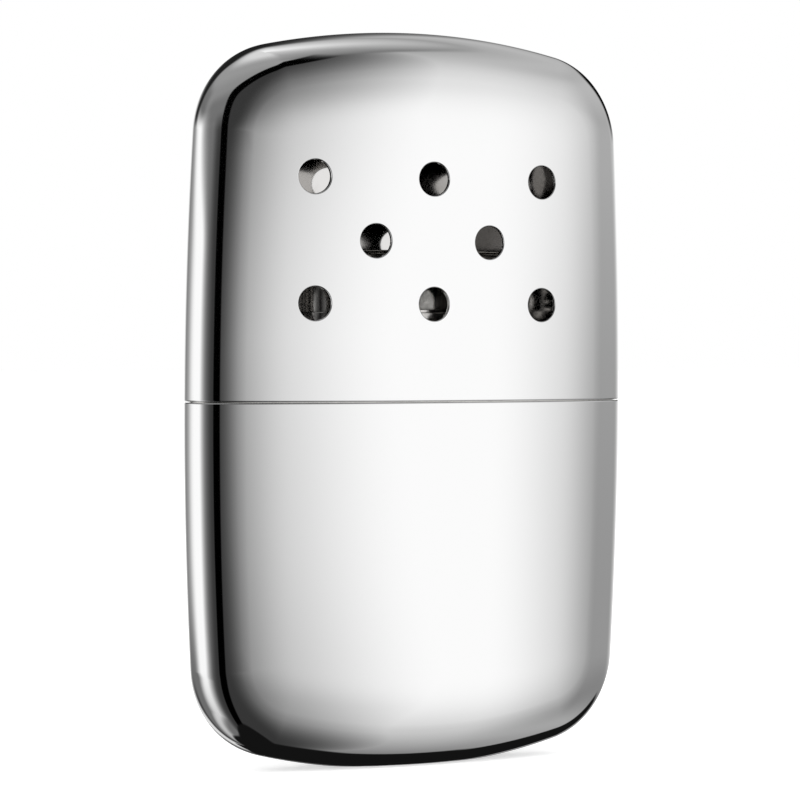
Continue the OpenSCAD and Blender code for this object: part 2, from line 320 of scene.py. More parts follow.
# %% A signal in a node tree
class Signal:
    """An output socket that can be added, multiplied and stepped like a number."""

    def __init__(self, tree, socket):
        self.tree, self.socket = tree, socket

    def math(self, operation, *others):
        node = self.tree.nodes.new("ShaderNodeMath")
        node.operation = operation
        for slot, value in zip(node.inputs, (self,) + others):
            connect(self.tree, value, slot)
        return Signal(self.tree, node.outputs[0])

    def __add__(self, other):
        return self.math("ADD", other)

    def __sub__(self, other):
        return self.math("SUBTRACT", other)

    def __mul__(self, other):
        return self.math("MULTIPLY", other)

    def __pow__(self, other):
        return self.math("POWER", other)

    def __neg__(self):
        return self.math("MULTIPLY", -1.0)

    def __abs__(self):
        return self.math("ABSOLUTE")

    def least(self, other):
        return self.math("MINIMUM", other)

    def smooth(self, low, high, start=0.0, end=1.0):
        """Goes from start to end as the signal goes from low to high, with soft ends."""
        node = self.tree.nodes.new("ShaderNodeMapRange")
        node.interpolation_type = "SMOOTHSTEP"
        for slot, value in zip(node.inputs, (self, low, high, start, end)):
            connect(self.tree, value, slot)
        return Signal(self.tree, node.outputs[0])

    def blend(self, first, second):
        """first where the signal is 0, second where it is 1."""
        node = self.tree.nodes.new("ShaderNodeMix")
        for name, value in (("Factor", self), ("A", first), ("B", second)):
            connect(self.tree, value, node.inputs[name])
        return Signal(self.tree, node.outputs[0])


def connect(tree, value, socket):
    """Links a signal to a socket, or sets a plain value on it."""
    if isinstance(value, Signal):
        tree.links.new(value.socket, socket)
    else:
        socket.default_value = value


def new_node(tree, kind, **settings):
    """A shader node with its settings given by name."""
    node = tree.nodes.new("ShaderNode" + kind)
    for name, value in settings.items():
        setattr(node, name, value)
    return node


# %% [markdown]
# ## Finishes
# The case is mirror chrome outside and thinner, plainer plating inside. The neck and its plate are
# satin nickel, the burner is drawn stainless that the heat has tinted, and the gauze, the glass fibre
# and the cotton are rough. Each could have a material made from nothing. What several of them share,
# such as drawn lines, marks of handling and the mottling of fibres, is a node group with named inputs
# instead, which each material uses with its own values, so that they all age alike.


# %% Shared effects as node groups
def effect(name, inputs, outputs):
    """A shader node group. Returns its tree, its inputs as signals and its exit."""
    group = bpy.data.node_groups.new(name, "ShaderNodeTree")
    for title, kind in inputs.items():
        group.interface.new_socket(title, in_out="INPUT", socket_type="NodeSocket" + kind)
    for title, kind in outputs.items():
        group.interface.new_socket(title, in_out="OUTPUT", socket_type="NodeSocket" + kind)
    entry, leave = group.nodes.new("NodeGroupInput"), group.nodes.new("NodeGroupOutput")
    return group, {title: Signal(group, entry.outputs[title]) for title in inputs}, leave


def noise_of(tree, place, scale, detail=3.0, roughness=0.5, distortion=0.0):
    """Noise with scale as its number of blotches a metre."""
    node = new_node(tree, "TexNoise")
    titles = ("Vector", "Scale", "Detail", "Roughness", "Distortion")
    for title, value in zip(titles, (place, scale, detail, roughness, distortion)):
        connect(tree, value, node.inputs[title])
    return Signal(tree, node.outputs["Fac"])


def stretched(tree, place, stretch):
    """A place multiplied by a factor for each axis."""
    node = new_node(tree, "VectorMath", operation="MULTIPLY")
    connect(tree, place, node.inputs[0])
    connect(tree, stretch, node.inputs[1])
    return Signal(tree, node.outputs[0])


def drawn_lines_effect():
    """Fine parallel lines from drawing or brushing. Stretch is the number of lines a metre, by axis."""
    group, given, leave = effect(
        "drawn_lines", {"Place": "Vector", "Stretch": "Vector", "Depth": "Float"},
        {"Height": "Float", "Shade": "Float"})
    place = stretched(group, given["Place"], given["Stretch"])
    broad = noise_of(group, place, 0.45, detail=3.0, roughness=0.6)
    fine = noise_of(group, place, 1.7, detail=2.0, roughness=0.7)
    both = broad * 0.6 + fine * 0.4
    connect(group, both * given["Depth"], leave.inputs["Height"])
    connect(group, both.smooth(0.35, 0.65), leave.inputs["Shade"])
    return group


def handling_effect():
    """Roughness of a touched surface: wiped streaks and faint smudges on a clean base."""
    group, given, leave = effect(
        "handling", {"Place": "Vector", "Base": "Float", "Smudge": "Float"},
        {"Roughness": "Float", "Mask": "Float"})
    cloud = noise_of(group, given["Place"], 95.0, detail=4.0, roughness=0.6, distortion=0.4)
    speck = noise_of(group, given["Place"], 900.0, detail=2.0, roughness=0.6)
    mask = cloud.smooth(0.5, 0.72) * (speck * 0.5 + 0.5)
    connect(group, given["Base"] + mask * given["Smudge"], leave.inputs["Roughness"])
    connect(group, mask, leave.inputs["Mask"])
    return group


def mottle_effect():
    """The uneven tone and surface of packed fibres."""
    group, given, leave = effect(
        "fibre_mottle", {"Place": "Vector", "Clumps": "Float", "Strands": "Float"},
        {"Tone": "Float", "Height": "Float"})
    clumps = noise_of(group, given["Place"], given["Clumps"], detail=4.0, roughness=0.6, distortion=0.6)
    strands = noise_of(group, given["Place"], given["Strands"], detail=3.0, roughness=0.7, distortion=2.2)
    connect(group, (clumps * 0.55 + strands * 0.45).smooth(0.3, 0.7), leave.inputs["Tone"])
    connect(group, clumps * 0.5 + strands * 0.5, leave.inputs["Height"])
    return group


drawn_lines, handling, fibre_mottle = drawn_lines_effect(), handling_effect(), mottle_effect()
print("shared effects:", drawn_lines.name, handling.name, fibre_mottle.name)


# %% A material from its parts
class Finish:
    """A material with a Principled shader, made by naming what each of its sockets takes."""

    def __init__(self, name):
        self.material = bpy.data.materials.new(name + "_finish")
        self.material.use_nodes = True
        self.tree = self.material.node_tree
        self.shader = self.tree.nodes["Principled BSDF"]
        self.place = Signal(self.tree, new_node(self.tree, "TexCoord").outputs["Object"])

    def use(self, group, **values):
        """Places a shared effect and returns its outputs by name."""
        node = new_node(self.tree, "Group", node_tree=group)
        connect(self.tree, self.place, node.inputs["Place"])
        for title, value in values.items():
            connect(self.tree, value, node.inputs[title])
        return {out.name: Signal(self.tree, out) for out in node.outputs}

    def noise(self, scale, **settings):
        return noise_of(self.tree, self.place, scale, **settings)

    def height(self):
        """The z of the place, up from the foot."""
        split = new_node(self.tree, "SeparateXYZ")
        connect(self.tree, self.place, split.inputs[0])
        return Signal(self.tree, split.outputs[2])

    def tint(self, share, first, second):
        """A colour between two others."""
        node = new_node(self.tree, "Mix", data_type="RGBA")
        sockets = [s for s in node.inputs if s.enabled]
        for socket, value in zip(sockets, (share, first, second)):
            connect(self.tree, value, socket)
        return Signal(self.tree, next(s for s in node.outputs if s.enabled))

    def bump(self, height):
        """A normal from a height in metres."""
        node = new_node(self.tree, "Bump")
        node.inputs["Distance"].default_value = 1.0
        connect(self.tree, height, node.inputs["Height"])
        return Signal(self.tree, node.outputs["Normal"])

    def set(self, **values):
        """Sets the shader's sockets, named with underscores for spaces, and returns the material."""
        for title, value in values.items():
            connect(self.tree, value, self.shader.inputs[title.replace("_", " ")])
        print("finish", self.material.name, "has", len(self.tree.nodes), "nodes")
        return self.material


# %% Chrome and plated steel
CHROME = (0.90, 0.90, 0.90, 1)
INNER_PLATE = (0.72, 0.71, 0.70, 1)
INNER_STAIN = (0.52, 0.50, 0.48, 1)
NICKEL = (0.74, 0.73, 0.71, 1)
NICKEL_WORN = (0.60, 0.59, 0.57, 1)


def case_chrome():
    """Mirror chrome with a plainer lining, where the piece's points are marked as inside."""
    look = Finish("case_chrome")
    marked = new_node(look.tree, "Attribute", attribute_name="lining")
    lining = Signal(look.tree, marked.outputs["Fac"])
    polish = look.use(handling, Base=0.035, Smudge=0.02)
    plain = look.use(handling, Base=0.04, Smudge=0.04)
    inside = look.tint(plain["Mask"], INNER_PLATE, INNER_STAIN)
    lines = look.use(drawn_lines, Stretch=(9000.0, 9000.0, 400.0), Depth=0.04 * MICRON)
    pull = look.noise(60.0, detail=1.0) * (1.5 * MICRON)
    return look.set(
        Base_Color=look.tint(lining, CHROME, inside), Metallic=1.0,
        Roughness=lining.blend(polish["Roughness"], plain["Roughness"]),
        Normal=look.bump(lines["Height"] + pull))


def plated_steel():
    """Satin nickel, brushed along the width."""
    look = Finish("plated_steel")
    satin = look.use(handling, Base=0.20, Smudge=0.07)
    lines = look.use(drawn_lines, Stretch=(350.0, 9000.0, 7000.0), Depth=1.6 * MICRON)
    worn = satin["Mask"] * 0.25 + lines["Shade"] * 0.3
    return look.set(
        Base_Color=look.tint(worn, NICKEL, NICKEL_WORN), Metallic=1.0,
        Roughness=satin["Roughness"] + lines["Shade"] * 0.06, Normal=look.bump(lines["Height"]))


# %% Burner steel and wire
STAINLESS = (0.74, 0.73, 0.71, 1)
STAINLESS_DARK = (0.58, 0.56, 0.54, 1)
STRAW = (0.60, 0.47, 0.30, 1)
WIRE = (0.55, 0.54, 0.52, 1)
WIRE_BURNT = (0.28, 0.24, 0.21, 1)
HEAT_LOW_Z, HEAT_HIGH_Z = DECK_Z + 6 * MM, DECK_Z + 14 * MM


def burner_steel():
    """Stainless drawn upwards, with a straw tint in blotches where the catalyst heats it."""
    look = Finish("burner_steel")
    lines = look.use(drawn_lines, Stretch=(5200.0, 5200.0, 160.0), Depth=2 * MICRON)
    touched = look.use(handling, Base=0.12, Smudge=0.14)
    heat = look.height().smooth(HEAT_LOW_Z, HEAT_HIGH_Z) * look.noise(260.0, detail=3.0)
    steel = look.tint(lines["Shade"], STAINLESS_DARK, STAINLESS)
    return look.set(
        Base_Color=look.tint(heat * 0.55, steel, STRAW), Metallic=1.0,
        Roughness=touched["Roughness"] + lines["Shade"] * 0.08, Normal=look.bump(lines["Height"]))


def wire_gauze():
    """Dull wire, burnt brown in places."""
    look = Finish("wire_gauze")
    burnt = look.noise(300.0, detail=4.0).smooth(0.38, 0.66)
    worn = look.use(handling, Base=0.30, Smudge=0.2)
    return look.set(
        Base_Color=look.tint(burnt, WIRE, WIRE_BURNT), Metallic=1.0,
        Roughness=worn["Roughness"] + burnt * 0.15,
        Normal=look.bump(look.noise(9000.0, detail=2.0) * (3 * MICRON)))


# %% Catalyst fibre and cotton
FIBRE_DARK, FIBRE_PALE = (0.38, 0.37, 0.35, 1), (0.64, 0.63, 0.61, 1)
COTTON_SHADE, COTTON_PALE = (0.74, 0.71, 0.64, 1), (0.90, 0.88, 0.83, 1)


def catalyst_fibre():
    """Grey glass fibre."""
    look = Finish("catalyst_fibre")
    mottle = look.use(fibre_mottle, Clumps=650.0, Strands=4200.0)
    return look.set(
        Base_Color=look.tint(mottle["Tone"], FIBRE_DARK, FIBRE_PALE), Roughness=0.92,
        Sheen_Weight=0.15, Normal=look.bump(mottle["Height"] * (60 * MICRON)))


def cotton():
    """Raw, slightly yellow cotton wool."""
    look = Finish("cotton")
    mottle = look.use(fibre_mottle, Clumps=420.0, Strands=3000.0)
    return look.set(
        Base_Color=look.tint(mottle["Tone"], COTTON_SHADE, COTTON_PALE), Roughness=1.0,
        Sheen_Weight=0.35, Sheen_Roughness=0.5, Normal=look.bump(mottle["Height"] * (100 * MICRON)))


FINISHES = {make.__name__: make() for make in
            (case_chrome, plated_steel, burner_steel, wire_gauze, catalyst_fibre, cotton)}

# %% Dress a node
BODIES = frame["record"]["behaviour"]["bodies"]
BODY_OF = {node: body for body, nodes in BODIES.items() for node in nodes}


def dress(piece, node, finish):
    """Lets a piece stand for a node: it rides on the node's body and has its finish, and the node is hidden.
    """
    piece.data.materials.clear()
    piece.data.materials.append(FINISHES[finish])
    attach(piece, BODY_OF[node])
    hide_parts(node)
    print(piece.name, "stands for", node, "on the", BODY_OF[node])


# %% [markdown]
# ## Lid and tank
# On the real case each half is one sheet, drawn deep in a press, and the vents are punched through it.
# A boolean would punch them here in one step, but it leaves slivers around each hole that a mirror
# shows. So the vents are drawn into the flat layout of the face before it is lifted to its bow: a
# constrained triangulation fills the face between its border, a grid and rings around each vent. The
# rolled lips of the vents and of the open edge are lofted from the outside to the inside of the sheet.

# %% Sizes of the vents and lips
VENT_R = 2.25 * MM
VENT_STEP_X = 8.65 * MM
VENT_STEP_Z = 8.4 * MM
VENT_LOW_Z = 13.2 * MM
VENT_LIP = 0.16 * MM
VENT_SIDES = 64
EDGE_LIP = 0.18 * MM
LIP_STEPS = 4
VENTS = [(col * VENT_STEP_X, VENT_LOW_Z + row * VENT_STEP_Z)
         for row in range(3) for col in range(-2, 3) if (row + col) % 2 == 0]
print("vents in each face:", len(VENTS))


# %% The face between its border and its vents
GRID_STEP = 1.0 * MM
# Height of a row of equal triangles, as a share of their side
ROW_SHARE = 0.87
# Distance of each ring of points from its vent, and how many of the vent's points it skips to
VENT_RINGS = ((0.22 * MM, 1), (0.55 * MM, 2), (1.0 * MM, 2))
VENT_CLEAR = 1.5 * MM
BORDER_CLEAR = 0.45 * GRID_STEP
CDT_LIMIT = 1e-7


def border_normals(border):
    """Unit normals of the border's edges, pointing in."""
    along = np.roll(border, -1, 0) - border
    normals = np.stack([-along[:, 1], along[:, 0]], -1)
    normals /= np.linalg.norm(normals, axis=1, keepdims=True)
    if ((border.mean(0) - border) * normals).sum(1).mean() < 0:
        normals = -normals
    return normals


def face_layout(border, holes, hole_r):
    """Triangulates the face in its front view. Returns points [x, z] and triangles."""
    points = [tuple(p) for p in border]
    edges = [(i, (i + 1) % len(border)) for i in range(len(border))]
    ring = np.linspace(0, 2 * math.pi, VENT_SIDES, endpoint=False)
    for cx, cz in holes:
        start = len(points)
        points += [(cx + hole_r * math.cos(a), cz + hole_r * math.sin(a)) for a in ring]
        edges += [(start + i, start + (i + 1) % VENT_SIDES) for i in range(VENT_SIDES)]
        for extra, share in VENT_RINGS:
            points += [(cx + (hole_r + extra) * math.cos(a), cz + (hole_r + extra) * math.sin(a))
                       for a in ring[::share]]
    low, high = border.min(0), border.max(0)
    inwards = border_normals(border)
    row = 0
    z = low[1] + GRID_STEP
    while z < high[1]:
        x = low[0] + (row % 2) * GRID_STEP / 2
        while x < high[0]:
            within = (([x, z] - border) * inwards).sum(1).min() > BORDER_CLEAR
            if within and all(math.dist((x, z), vent) > hole_r + VENT_CLEAR for vent in holes):
                points.append((x, z))
            x += GRID_STEP
        z += GRID_STEP * ROW_SHARE
        row += 1
    made = delaunay_2d_cdt([Vector((p[0] / MM, p[1] / MM)) for p in points], edges, [], 0, CDT_LIMIT)
    flat = np.array(points)[[origins[0] for origins in made[3]]]
    # A triangle that fills a vent has its middle inside the many-sided ring, just under the radius.
    ring_r = hole_r * 0.998
    triangles = [list(t) for t in made[2]
                 if all(math.dist(flat[list(t)].mean(0), vent) > ring_r for vent in holes)]
    return flat, triangles


def place(half, points, normals, side):
    """Moves local points to the frame: side is -1 for the front face and 1 for the back."""
    p, n = np.array(points, float), np.array(normals, float)
    for a in (p, n):
        a[..., 1] *= side
        a[..., 2] *= half.way
    p[..., 2] += SEAM_Z
    return p, n


def surface_patches(sheet, half, low_z, holes, hole_r, facing):
    """Both faces and the rim of one side of the sheet. Returns its open edge as a ring."""
    points, normals = rim_grid(half, low_z)
    mirror = np.array([-1.0, 1, 1])
    for side in (-1, 1):
        for flip in (1, mirror):
            p, n = place(half, points * flip, normals * flip, side)
            sheet.add_grid(p, n * facing)
    right = points[:, -1][:, [0, 2]]
    count = int(2 * right[0, 0] / GRID_STEP)
    line = np.stack([np.linspace(right[0, 0], -right[0, 0], count + 1)[1:-1],
                     np.full(count - 1, low_z)], -1)
    left = right[:-1] * [-1, 1]
    border = np.concatenate([right, left[::-1], line[::-1]])
    flat, triangles = face_layout(border, holes, hole_r)
    lifted = np.stack([flat[:, 0], half.face(flat[:, 0], flat[:, 1]), flat[:, 1]], -1)
    for side in (-1, 1):
        p, n = place(half, lifted, half.face_normal(flat[:, 0], flat[:, 1]), side)
        sheet.add(p, n * facing, triangles)
    edge_line = np.stack([line[:, 0], half.face(line[:, 0], line[:, 1]), line[:, 1]], -1)
    # The open edge runs over the right rim, along the face and over the left rim, on each side.
    ring_p = np.concatenate([points[0], edge_line, points[0][::-1] * mirror])
    face_n = half.face_normal(line[:, 0], line[:, 1])
    ring_n = np.concatenate([normals[0], face_n, normals[0][::-1] * mirror])
    front = place(half, ring_p, ring_n, -1)
    back = place(half, ring_p[::-1], ring_n[::-1], 1)
    return [np.concatenate([f, b[1:-1]]) for f, b in zip(front, back)]


# %% Rolled lips
def rolled(start_p, start_n, into, end_p, end_n, lip):
    """Grid that rolls off one surface, runs straight along into, and rolls onto the other."""
    turns = np.linspace(0, math.pi / 2, LIP_STEPS + 1)
    rows, tilts = [], []
    for a in turns:
        rows.append(start_p - start_n * lip * (1 - math.cos(a)) + into * lip * math.sin(a))
        tilts.append(start_n * math.cos(a) + into * math.sin(a))
    for a in turns[::-1]:
        rows.append(end_p + end_n * lip * (1 - math.cos(a)) + into * lip * math.sin(a))
        tilts.append(-end_n * math.cos(a) + into * math.sin(a))
    return np.stack(rows), np.stack(tilts)


def vent_patches(sheet, outer, inner, side):
    """The rolled wall of each vent through one face."""
    turns = np.linspace(0, 2 * math.pi, VENT_SIDES, endpoint=False)
    spoke = np.stack([np.cos(turns), np.sin(turns)], -1)
    bends = np.linspace(0, math.pi / 2, LIP_STEPS + 1)
    for cx, cz in VENTS:
        rows, tilts = [], []
        for half, steps, way in ((outer, bends, 1), (inner, bends[::-1], -1)):
            for a in steps:
                r = VENT_R + VENT_LIP * (1 - math.sin(a))
                x, z = cx + r * spoke[:, 0], cz + r * spoke[:, 1]
                y = half.face(x, z) - way * VENT_LIP * (1 - math.cos(a))
                rows.append(np.stack([x, y, z], -1))
                inward = np.stack([-spoke[:, 0], 0 * x, -spoke[:, 1]], -1)
                tilts.append(way * half.face_normal(x, z) * math.cos(a) + inward * math.sin(a))
        p, n = place(outer, np.stack(rows), np.stack(tilts), side)
        sheet.add_grid(p, n, closed=True)


def case_half(name, way, height, bow_r, gap, holes, floor=None):
    """The lid or the tank as one closed sheet, with its vents and its rolled open edge."""
    sheet = Sheet()
    outer = Half(way, height, bow_r, 0.0, floor)
    inner = Half(way, height, bow_r, SHEET, None if floor is None else floor - SHEET)
    low_z = gap + EDGE_LIP
    hole_r = VENT_R + VENT_LIP
    out_p, out_n = surface_patches(sheet, outer, low_z, holes, hole_r, 1)
    in_p, in_n = surface_patches(sheet, inner, low_z, holes, hole_r, -1)
    level = np.array([1.0, 1, 0])
    out_n, in_n = out_n * level, in_n * level
    out_n /= np.linalg.norm(out_n, axis=1, keepdims=True)
    in_n /= np.linalg.norm(in_n, axis=1, keepdims=True)
    p, n = rolled(out_p, out_n, np.array([0, 0, -way]), in_p, in_n, EDGE_LIP)
    sheet.add_grid(p, n, closed=True)
    if holes:
        for side in (-1, 1):
            vent_patches(sheet, outer, inner, side)
    return sheet.build(name)


# %% Lid and tank
CORE_X = HALF_W - CORNER_R
CORE_Z = (CORNER_R, lid_high.z - CORNER_R)
# A point counts as inside where its normal turns away from outwards; the step between is a short blend.
LINING_EDGE, LINING_BLEND = 0.4, 1.6


def mark_lining(piece):
    """Marks each point for the chrome: 0 on the polished outside, 1 on the plainer inside."""
    mesh = piece.data
    places = np.array([v.co for v in mesh.vertices])
    normals = np.array([v.normal for v in mesh.vertices])
    core = np.stack([np.clip(places[:, 0], -CORE_X, CORE_X), 0 * places[:, 1],
                     np.clip(places[:, 2], *CORE_Z)], -1)
    away = places - core
    away /= np.linalg.norm(away, axis=1, keepdims=True)
    lining = np.clip(LINING_EDGE - LINING_BLEND * (normals * away).sum(1), 0, 1)
    mesh.attributes.new("lining", "FLOAT", "POINT").data.foreach_set("value", lining)
    print(piece.name, "has", int((lining > 0.5).sum()), "points inside")
    return piece


lid = mark_lining(case_half("lid_chrome", 1, LID_H, LID_BOW_R, SEAM_GAP, VENTS))
tank = mark_lining(case_half("tank_chrome", -1, TANK_H, TANK_BOW_R, 0.0, [], floor=SEAM_Z))
dress(lid, "vent_lid", "case_chrome")
dress(tank, "tank_shell", "case_chrome")


# %% [markdown]
# ## Flat layouts with openings
# The burner is pressed sheet too, so it is made as the lid is: a flat layout with openings is filled
# with triangles, and a mapping then bends it to its place. Here the openings are loops of any shape,
# so a walk across the triangles tells the sheet from its openings.


# %% A layout with any openings
# Least distance of a grid point from a loop, as a share of the grid's step
LOOP_CLEAR = 0.55


def inside(loop, points):
    """True for each of the points that lies in a closed loop."""
    x0, z0 = loop[:, 0], loop[:, 1]
    x1, z1 = np.roll(x0, -1), np.roll(z0, -1)
    x, z = points[:, :1], points[:, 1:]
    spans = (z0 > z) != (z1 > z)
    rise = np.where(z1 == z0, 1, z1 - z0)
    return (spans & (x < x0 + (z - z0) * (x1 - x0) / rise)).sum(1) % 2 == 1


def loop_normals(loop):
    """Unit normals in the plane, pointing out of a loop that runs either way."""
    before, after = np.roll(loop, 1, 0), np.roll(loop, -1, 0)
    along = after - before
    normals = np.stack([along[:, 1], -along[:, 0]], -1)
    normals /= np.linalg.norm(normals, axis=1, keepdims=True)
    area = (loop[:, 0] * after[:, 1] - after[:, 0] * loop[:, 1]).sum()
    return normals if area > 0 else -normals


def grid_inside(loops, step):
    """Points of a triangular grid inside the first loop, clear of it and of the others."""
    low, high = loops[0].min(0), loops[0].max(0)
    rows = np.arange(low[1] + step / 2, high[1], step * ROW_SHARE)
    grid = [(x, z) for row, z in enumerate(rows)
            for x in np.arange(low[0] + step * (0.5 + row % 2 / 2), high[0], step)]
    grid = np.array(grid)
    fixed = np.concatenate(loops)
    gap = np.array([np.hypot(*(fixed - p).T).min() for p in grid])
    keep = (gap > LOOP_CLEAR * step) & inside(loops[0], grid)
    for loop in loops[1:]:
        keep &= ~inside(loop, grid)
    return grid[keep]


def edges_of(t):
    return [tuple(sorted(edge)) for edge in ((t[0], t[1]), (t[1], t[2]), (t[2], t[0]))]


def sheet_triangles(triangles, walls):
    """The triangles between the border and its openings: a walk over them changes side at walls."""
    beside = {}
    for index, t in enumerate(triangles):
        for edge in edges_of(t):
            beside.setdefault(edge, []).append(index)
    side = {}
    for edge, owners in beside.items():
        if len(owners) == 1:
            side[owners[0]] = edge in walls
    queue = list(side)
    while queue:
        index = queue.pop()
        for edge in edges_of(triangles[index]):
            for other in beside[edge]:
                if other not in side:
                    side[other] = side[index] != (edge in walls)
                    queue.append(other)
    return [t for index, t in enumerate(triangles) if side[index]]


def sheet_layout(border, openings, step):
    """Triangles between a border and its openings. Returns points, triangles and the loops."""
    loops = [np.array(border)] + [np.array(o) for o in openings]
    edges, start = [], 0
    for loop in loops:
        count = len(loop)
        edges += [(start + i, start + (i + 1) % count) for i in range(count)]
        start += count
    points = np.concatenate(loops + [grid_inside(loops, step)])
    made = delaunay_2d_cdt([Vector(p) for p in points / MM], edges, [], 0, CDT_LIMIT)
    renamed = {old: new for new, olds in enumerate(made[3]) for old in olds}
    walls = {tuple(sorted((renamed[a], renamed[b]))) for a, b in edges}
    flat = points[[olds[0] for olds in made[3]]]
    return flat, sheet_triangles([list(t) for t in made[2]], walls), loops


def pressed(name, border, openings, bend, thickness, lip, step):
    """A closed sheet from its layout. bend(points, depth) gives places and outward normals."""
    flat, triangles, loops = sheet_layout(border, openings, step)
    sheet = Sheet()
    for depth, facing in ((0.0, 1), (thickness, -1)):
        places, normals = bend(flat, depth)
        sheet.add(places, normals * facing, triangles)
    turns = np.linspace(0, math.pi / 2, LIP_STEPS + 1)
    for index, loop in enumerate(loops):
        away = loop_normals(loop) * (1 if index == 0 else -1)
        rows, tilts = [], []
        for face, steps in ((1, turns), (-1, turns[::-1])):
            for turn in steps:
                sunk = lip * (1 - math.cos(turn))
                depth = sunk if face > 0 else thickness - sunk
                places, normals = bend(loop + away * lip * math.sin(turn), depth)
                reach = away * 2 * lip
                edge_on = bend(loop + reach, depth)[0] - bend(loop - reach, depth)[0]
                edge_on /= np.linalg.norm(edge_on, axis=-1, keepdims=True)
                rows.append(places)
                tilts.append(normals * face * math.cos(turn) + edge_on * math.sin(turn))
        sheet.add_grid(np.stack(rows), np.stack(tilts), closed=True)
    return sheet.build(name)


# %% [markdown]
# ## Profiles carried around the neck
# The neck, the skirt and the ring each have one closed profile, which runs around a slot with round
# ends. Each profile is drawn with soft corners, as rolled metal has them, because a corner without a
# radius catches no light.


# %% Profiles around a slot
END_STEPS = 28
RUN_STEPS = 10


def slot_path(run):
    """Stations around a slot as places on its middle line and outward directions."""
    half = run / 2
    ends = np.linspace(-math.pi / 2, math.pi / 2, END_STEPS + 1)
    straight = np.linspace(-half, half, RUN_STEPS + 1)[1:-1]
    right = [((half, 0), (math.cos(b), math.sin(b))) for b in ends]
    left = [((-half, 0), (-math.cos(b), -math.sin(b))) for b in ends]
    back = [((x, 0), (0, 1)) for x in straight[::-1]]
    front = [((x, 0), (0, -1)) for x in straight]
    path = right + back + left + front
    return np.array([p[0] for p in path]), np.array([p[1] for p in path])


# The most of a side that one corner's round may take, so that two never meet
ROUND_SHARE = 0.49


def softened(profile, soft, steps=3):
    """Rounds the corners of a closed profile of [distance, height] points, each by its own reach."""
    profile = np.array(profile, float)
    count = len(profile)
    out = []
    for i in range(count):
        here, before, after = profile[i], profile[i - 1], profile[(i + 1) % count]
        back, on = before - here, after - here
        reach = min(soft[i], ROUND_SHARE * np.linalg.norm(back), ROUND_SHARE * np.linalg.norm(on))
        start = here + back / np.linalg.norm(back) * reach
        stop = here + on / np.linalg.norm(on) * reach
        for k in range(steps + 1):
            t = k / steps
            out.append((1 - t)**2 * start + 2 * t * (1 - t) * here + t**2 * stop)
    return np.array(out)


def around_slot(name, profile, run):
    """Carries a closed profile around a slot."""
    r, z = profile[:, 0], profile[:, 1]
    rows = [np.stack([m[0] + o[0] * r, m[1] + o[1] * r, z], -1) for m, o in zip(*slot_path(run))]
    return lofted(name, rows)


def from_middle_line(x, y, run):
    """For places around a slot: the nearest x on its middle line, the way out and the distance."""
    base = np.clip(x, -run / 2, run / 2)
    away = np.stack([x - base, y], -1)
    reach = np.maximum(np.linalg.norm(away, axis=1), 1e-9)
    return base, away / reach[:, None], reach


# %% Loft closed loops into a solid
SHARP_ANGLE = math.radians(50)
SAME_POINT = 1e-7


def lofted(name, rows):
    """A ring of closed loops joined into one closed surface, with sharp edges kept."""
    rows = np.stack(rows)
    count, width = rows.shape[:2]
    faces = []
    for i in range(count):
        for j in range(width):
            here, after, on = i * width, (i + 1) % count * width, (j + 1) % width
            faces.append((here + j, here + on, after + on, after + j))
    mesh = bpy.data.meshes.new(name)
    mesh.from_pydata([tuple(p) for p in rows.reshape(-1, 3)], [], faces)
    work = bmesh.new()
    work.from_mesh(mesh)
    bmesh.ops.remove_doubles(work, verts=work.verts, dist=SAME_POINT)
    bmesh.ops.recalc_face_normals(work, faces=work.faces)
    work.to_mesh(mesh)
    work.free()
    mesh.shade_smooth()
    mesh.set_sharp_from_angle(angle=SHARP_ANGLE)
    tell(name, mesh)
    return in_scene(name, mesh)


def bottom(node):
    """Height of a node's lowest point."""
    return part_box(node)[0].z


def top(node):
    """Height of a node's highest point."""
    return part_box(node)[1].z


# %% [markdown]
# ## Neck plate and filler neck
# The plate closes the tank. Its collar follows the rule of the case, drawn in by one sheet and the
# clearance, and its deck is pressed flat with a soft edge. The neck stands in an oblong hole and has
# a rolled mouth, so that the burner slides on without catching. Both are lofted from closed loops of
# points, each at its own height, because that keeps every edge soft without a boolean.

# %% Neck plate
PLATE = 0.5 * MM
DECK_ROUND = 1.0 * MM
FOOT_SOFT = 0.1 * MM
FOOT_SOFT_RISE = 0.12 * MM
HOLE_SOFT = 0.08 * MM
NECK_SHEET = 0.5 * MM
NECK_FLANGE = 1.0 * MM
neck_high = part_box("filler_neck")[1]
NECK_RUN = (neck_high.x - neck_high.y) * 2
# The hole clears the neck's wall by a gap that the solder fills.
SOLDER_GAP = 0.05 * MM
NECK_HOLE_R = neck_high.y - (NECK_FLANGE - SOLDER_GAP)
RIM_POINTS, FACE_POINTS = 15, 24


def level_ring(inset, z):
    """A closed loop of points around the case at height z of the frame."""
    up_way = z >= SEAM_Z
    half = Half(1, LID_H, LID_BOW_R, inset) if up_way else Half(-1, TANK_H, TANK_BOW_R, inset)
    local = abs(z - SEAM_Z)
    quarter = []
    for turn in np.linspace(0, math.pi / 2, RIM_POINTS):
        left = math.cos(turn) ** (2 / RIM_POWER)
        out = half.radii[0] - half.run * (1 - left)
        x = half.centres[0][0] + math.sqrt(out**2 - local**2)
        y = float(half.face(np.array(x), np.array(local))) * math.sin(turn) ** (2 / RIM_POWER)
        quarter.append((x, y))
    x_edge = quarter[-1][0]
    for x in np.linspace(x_edge, 0, FACE_POINTS)[1:]:
        quarter.append((x, float(half.face(np.array(x), np.array(local)))))
    quarter = np.array(quarter)
    back_left = quarter[-2::-1] * [-1, 1]
    upper = np.concatenate([quarter, back_left])
    lower = (upper * [1, -1])[-2:0:-1]
    ring = np.concatenate([upper, lower])
    return np.column_stack([ring, np.full(len(ring), z)])


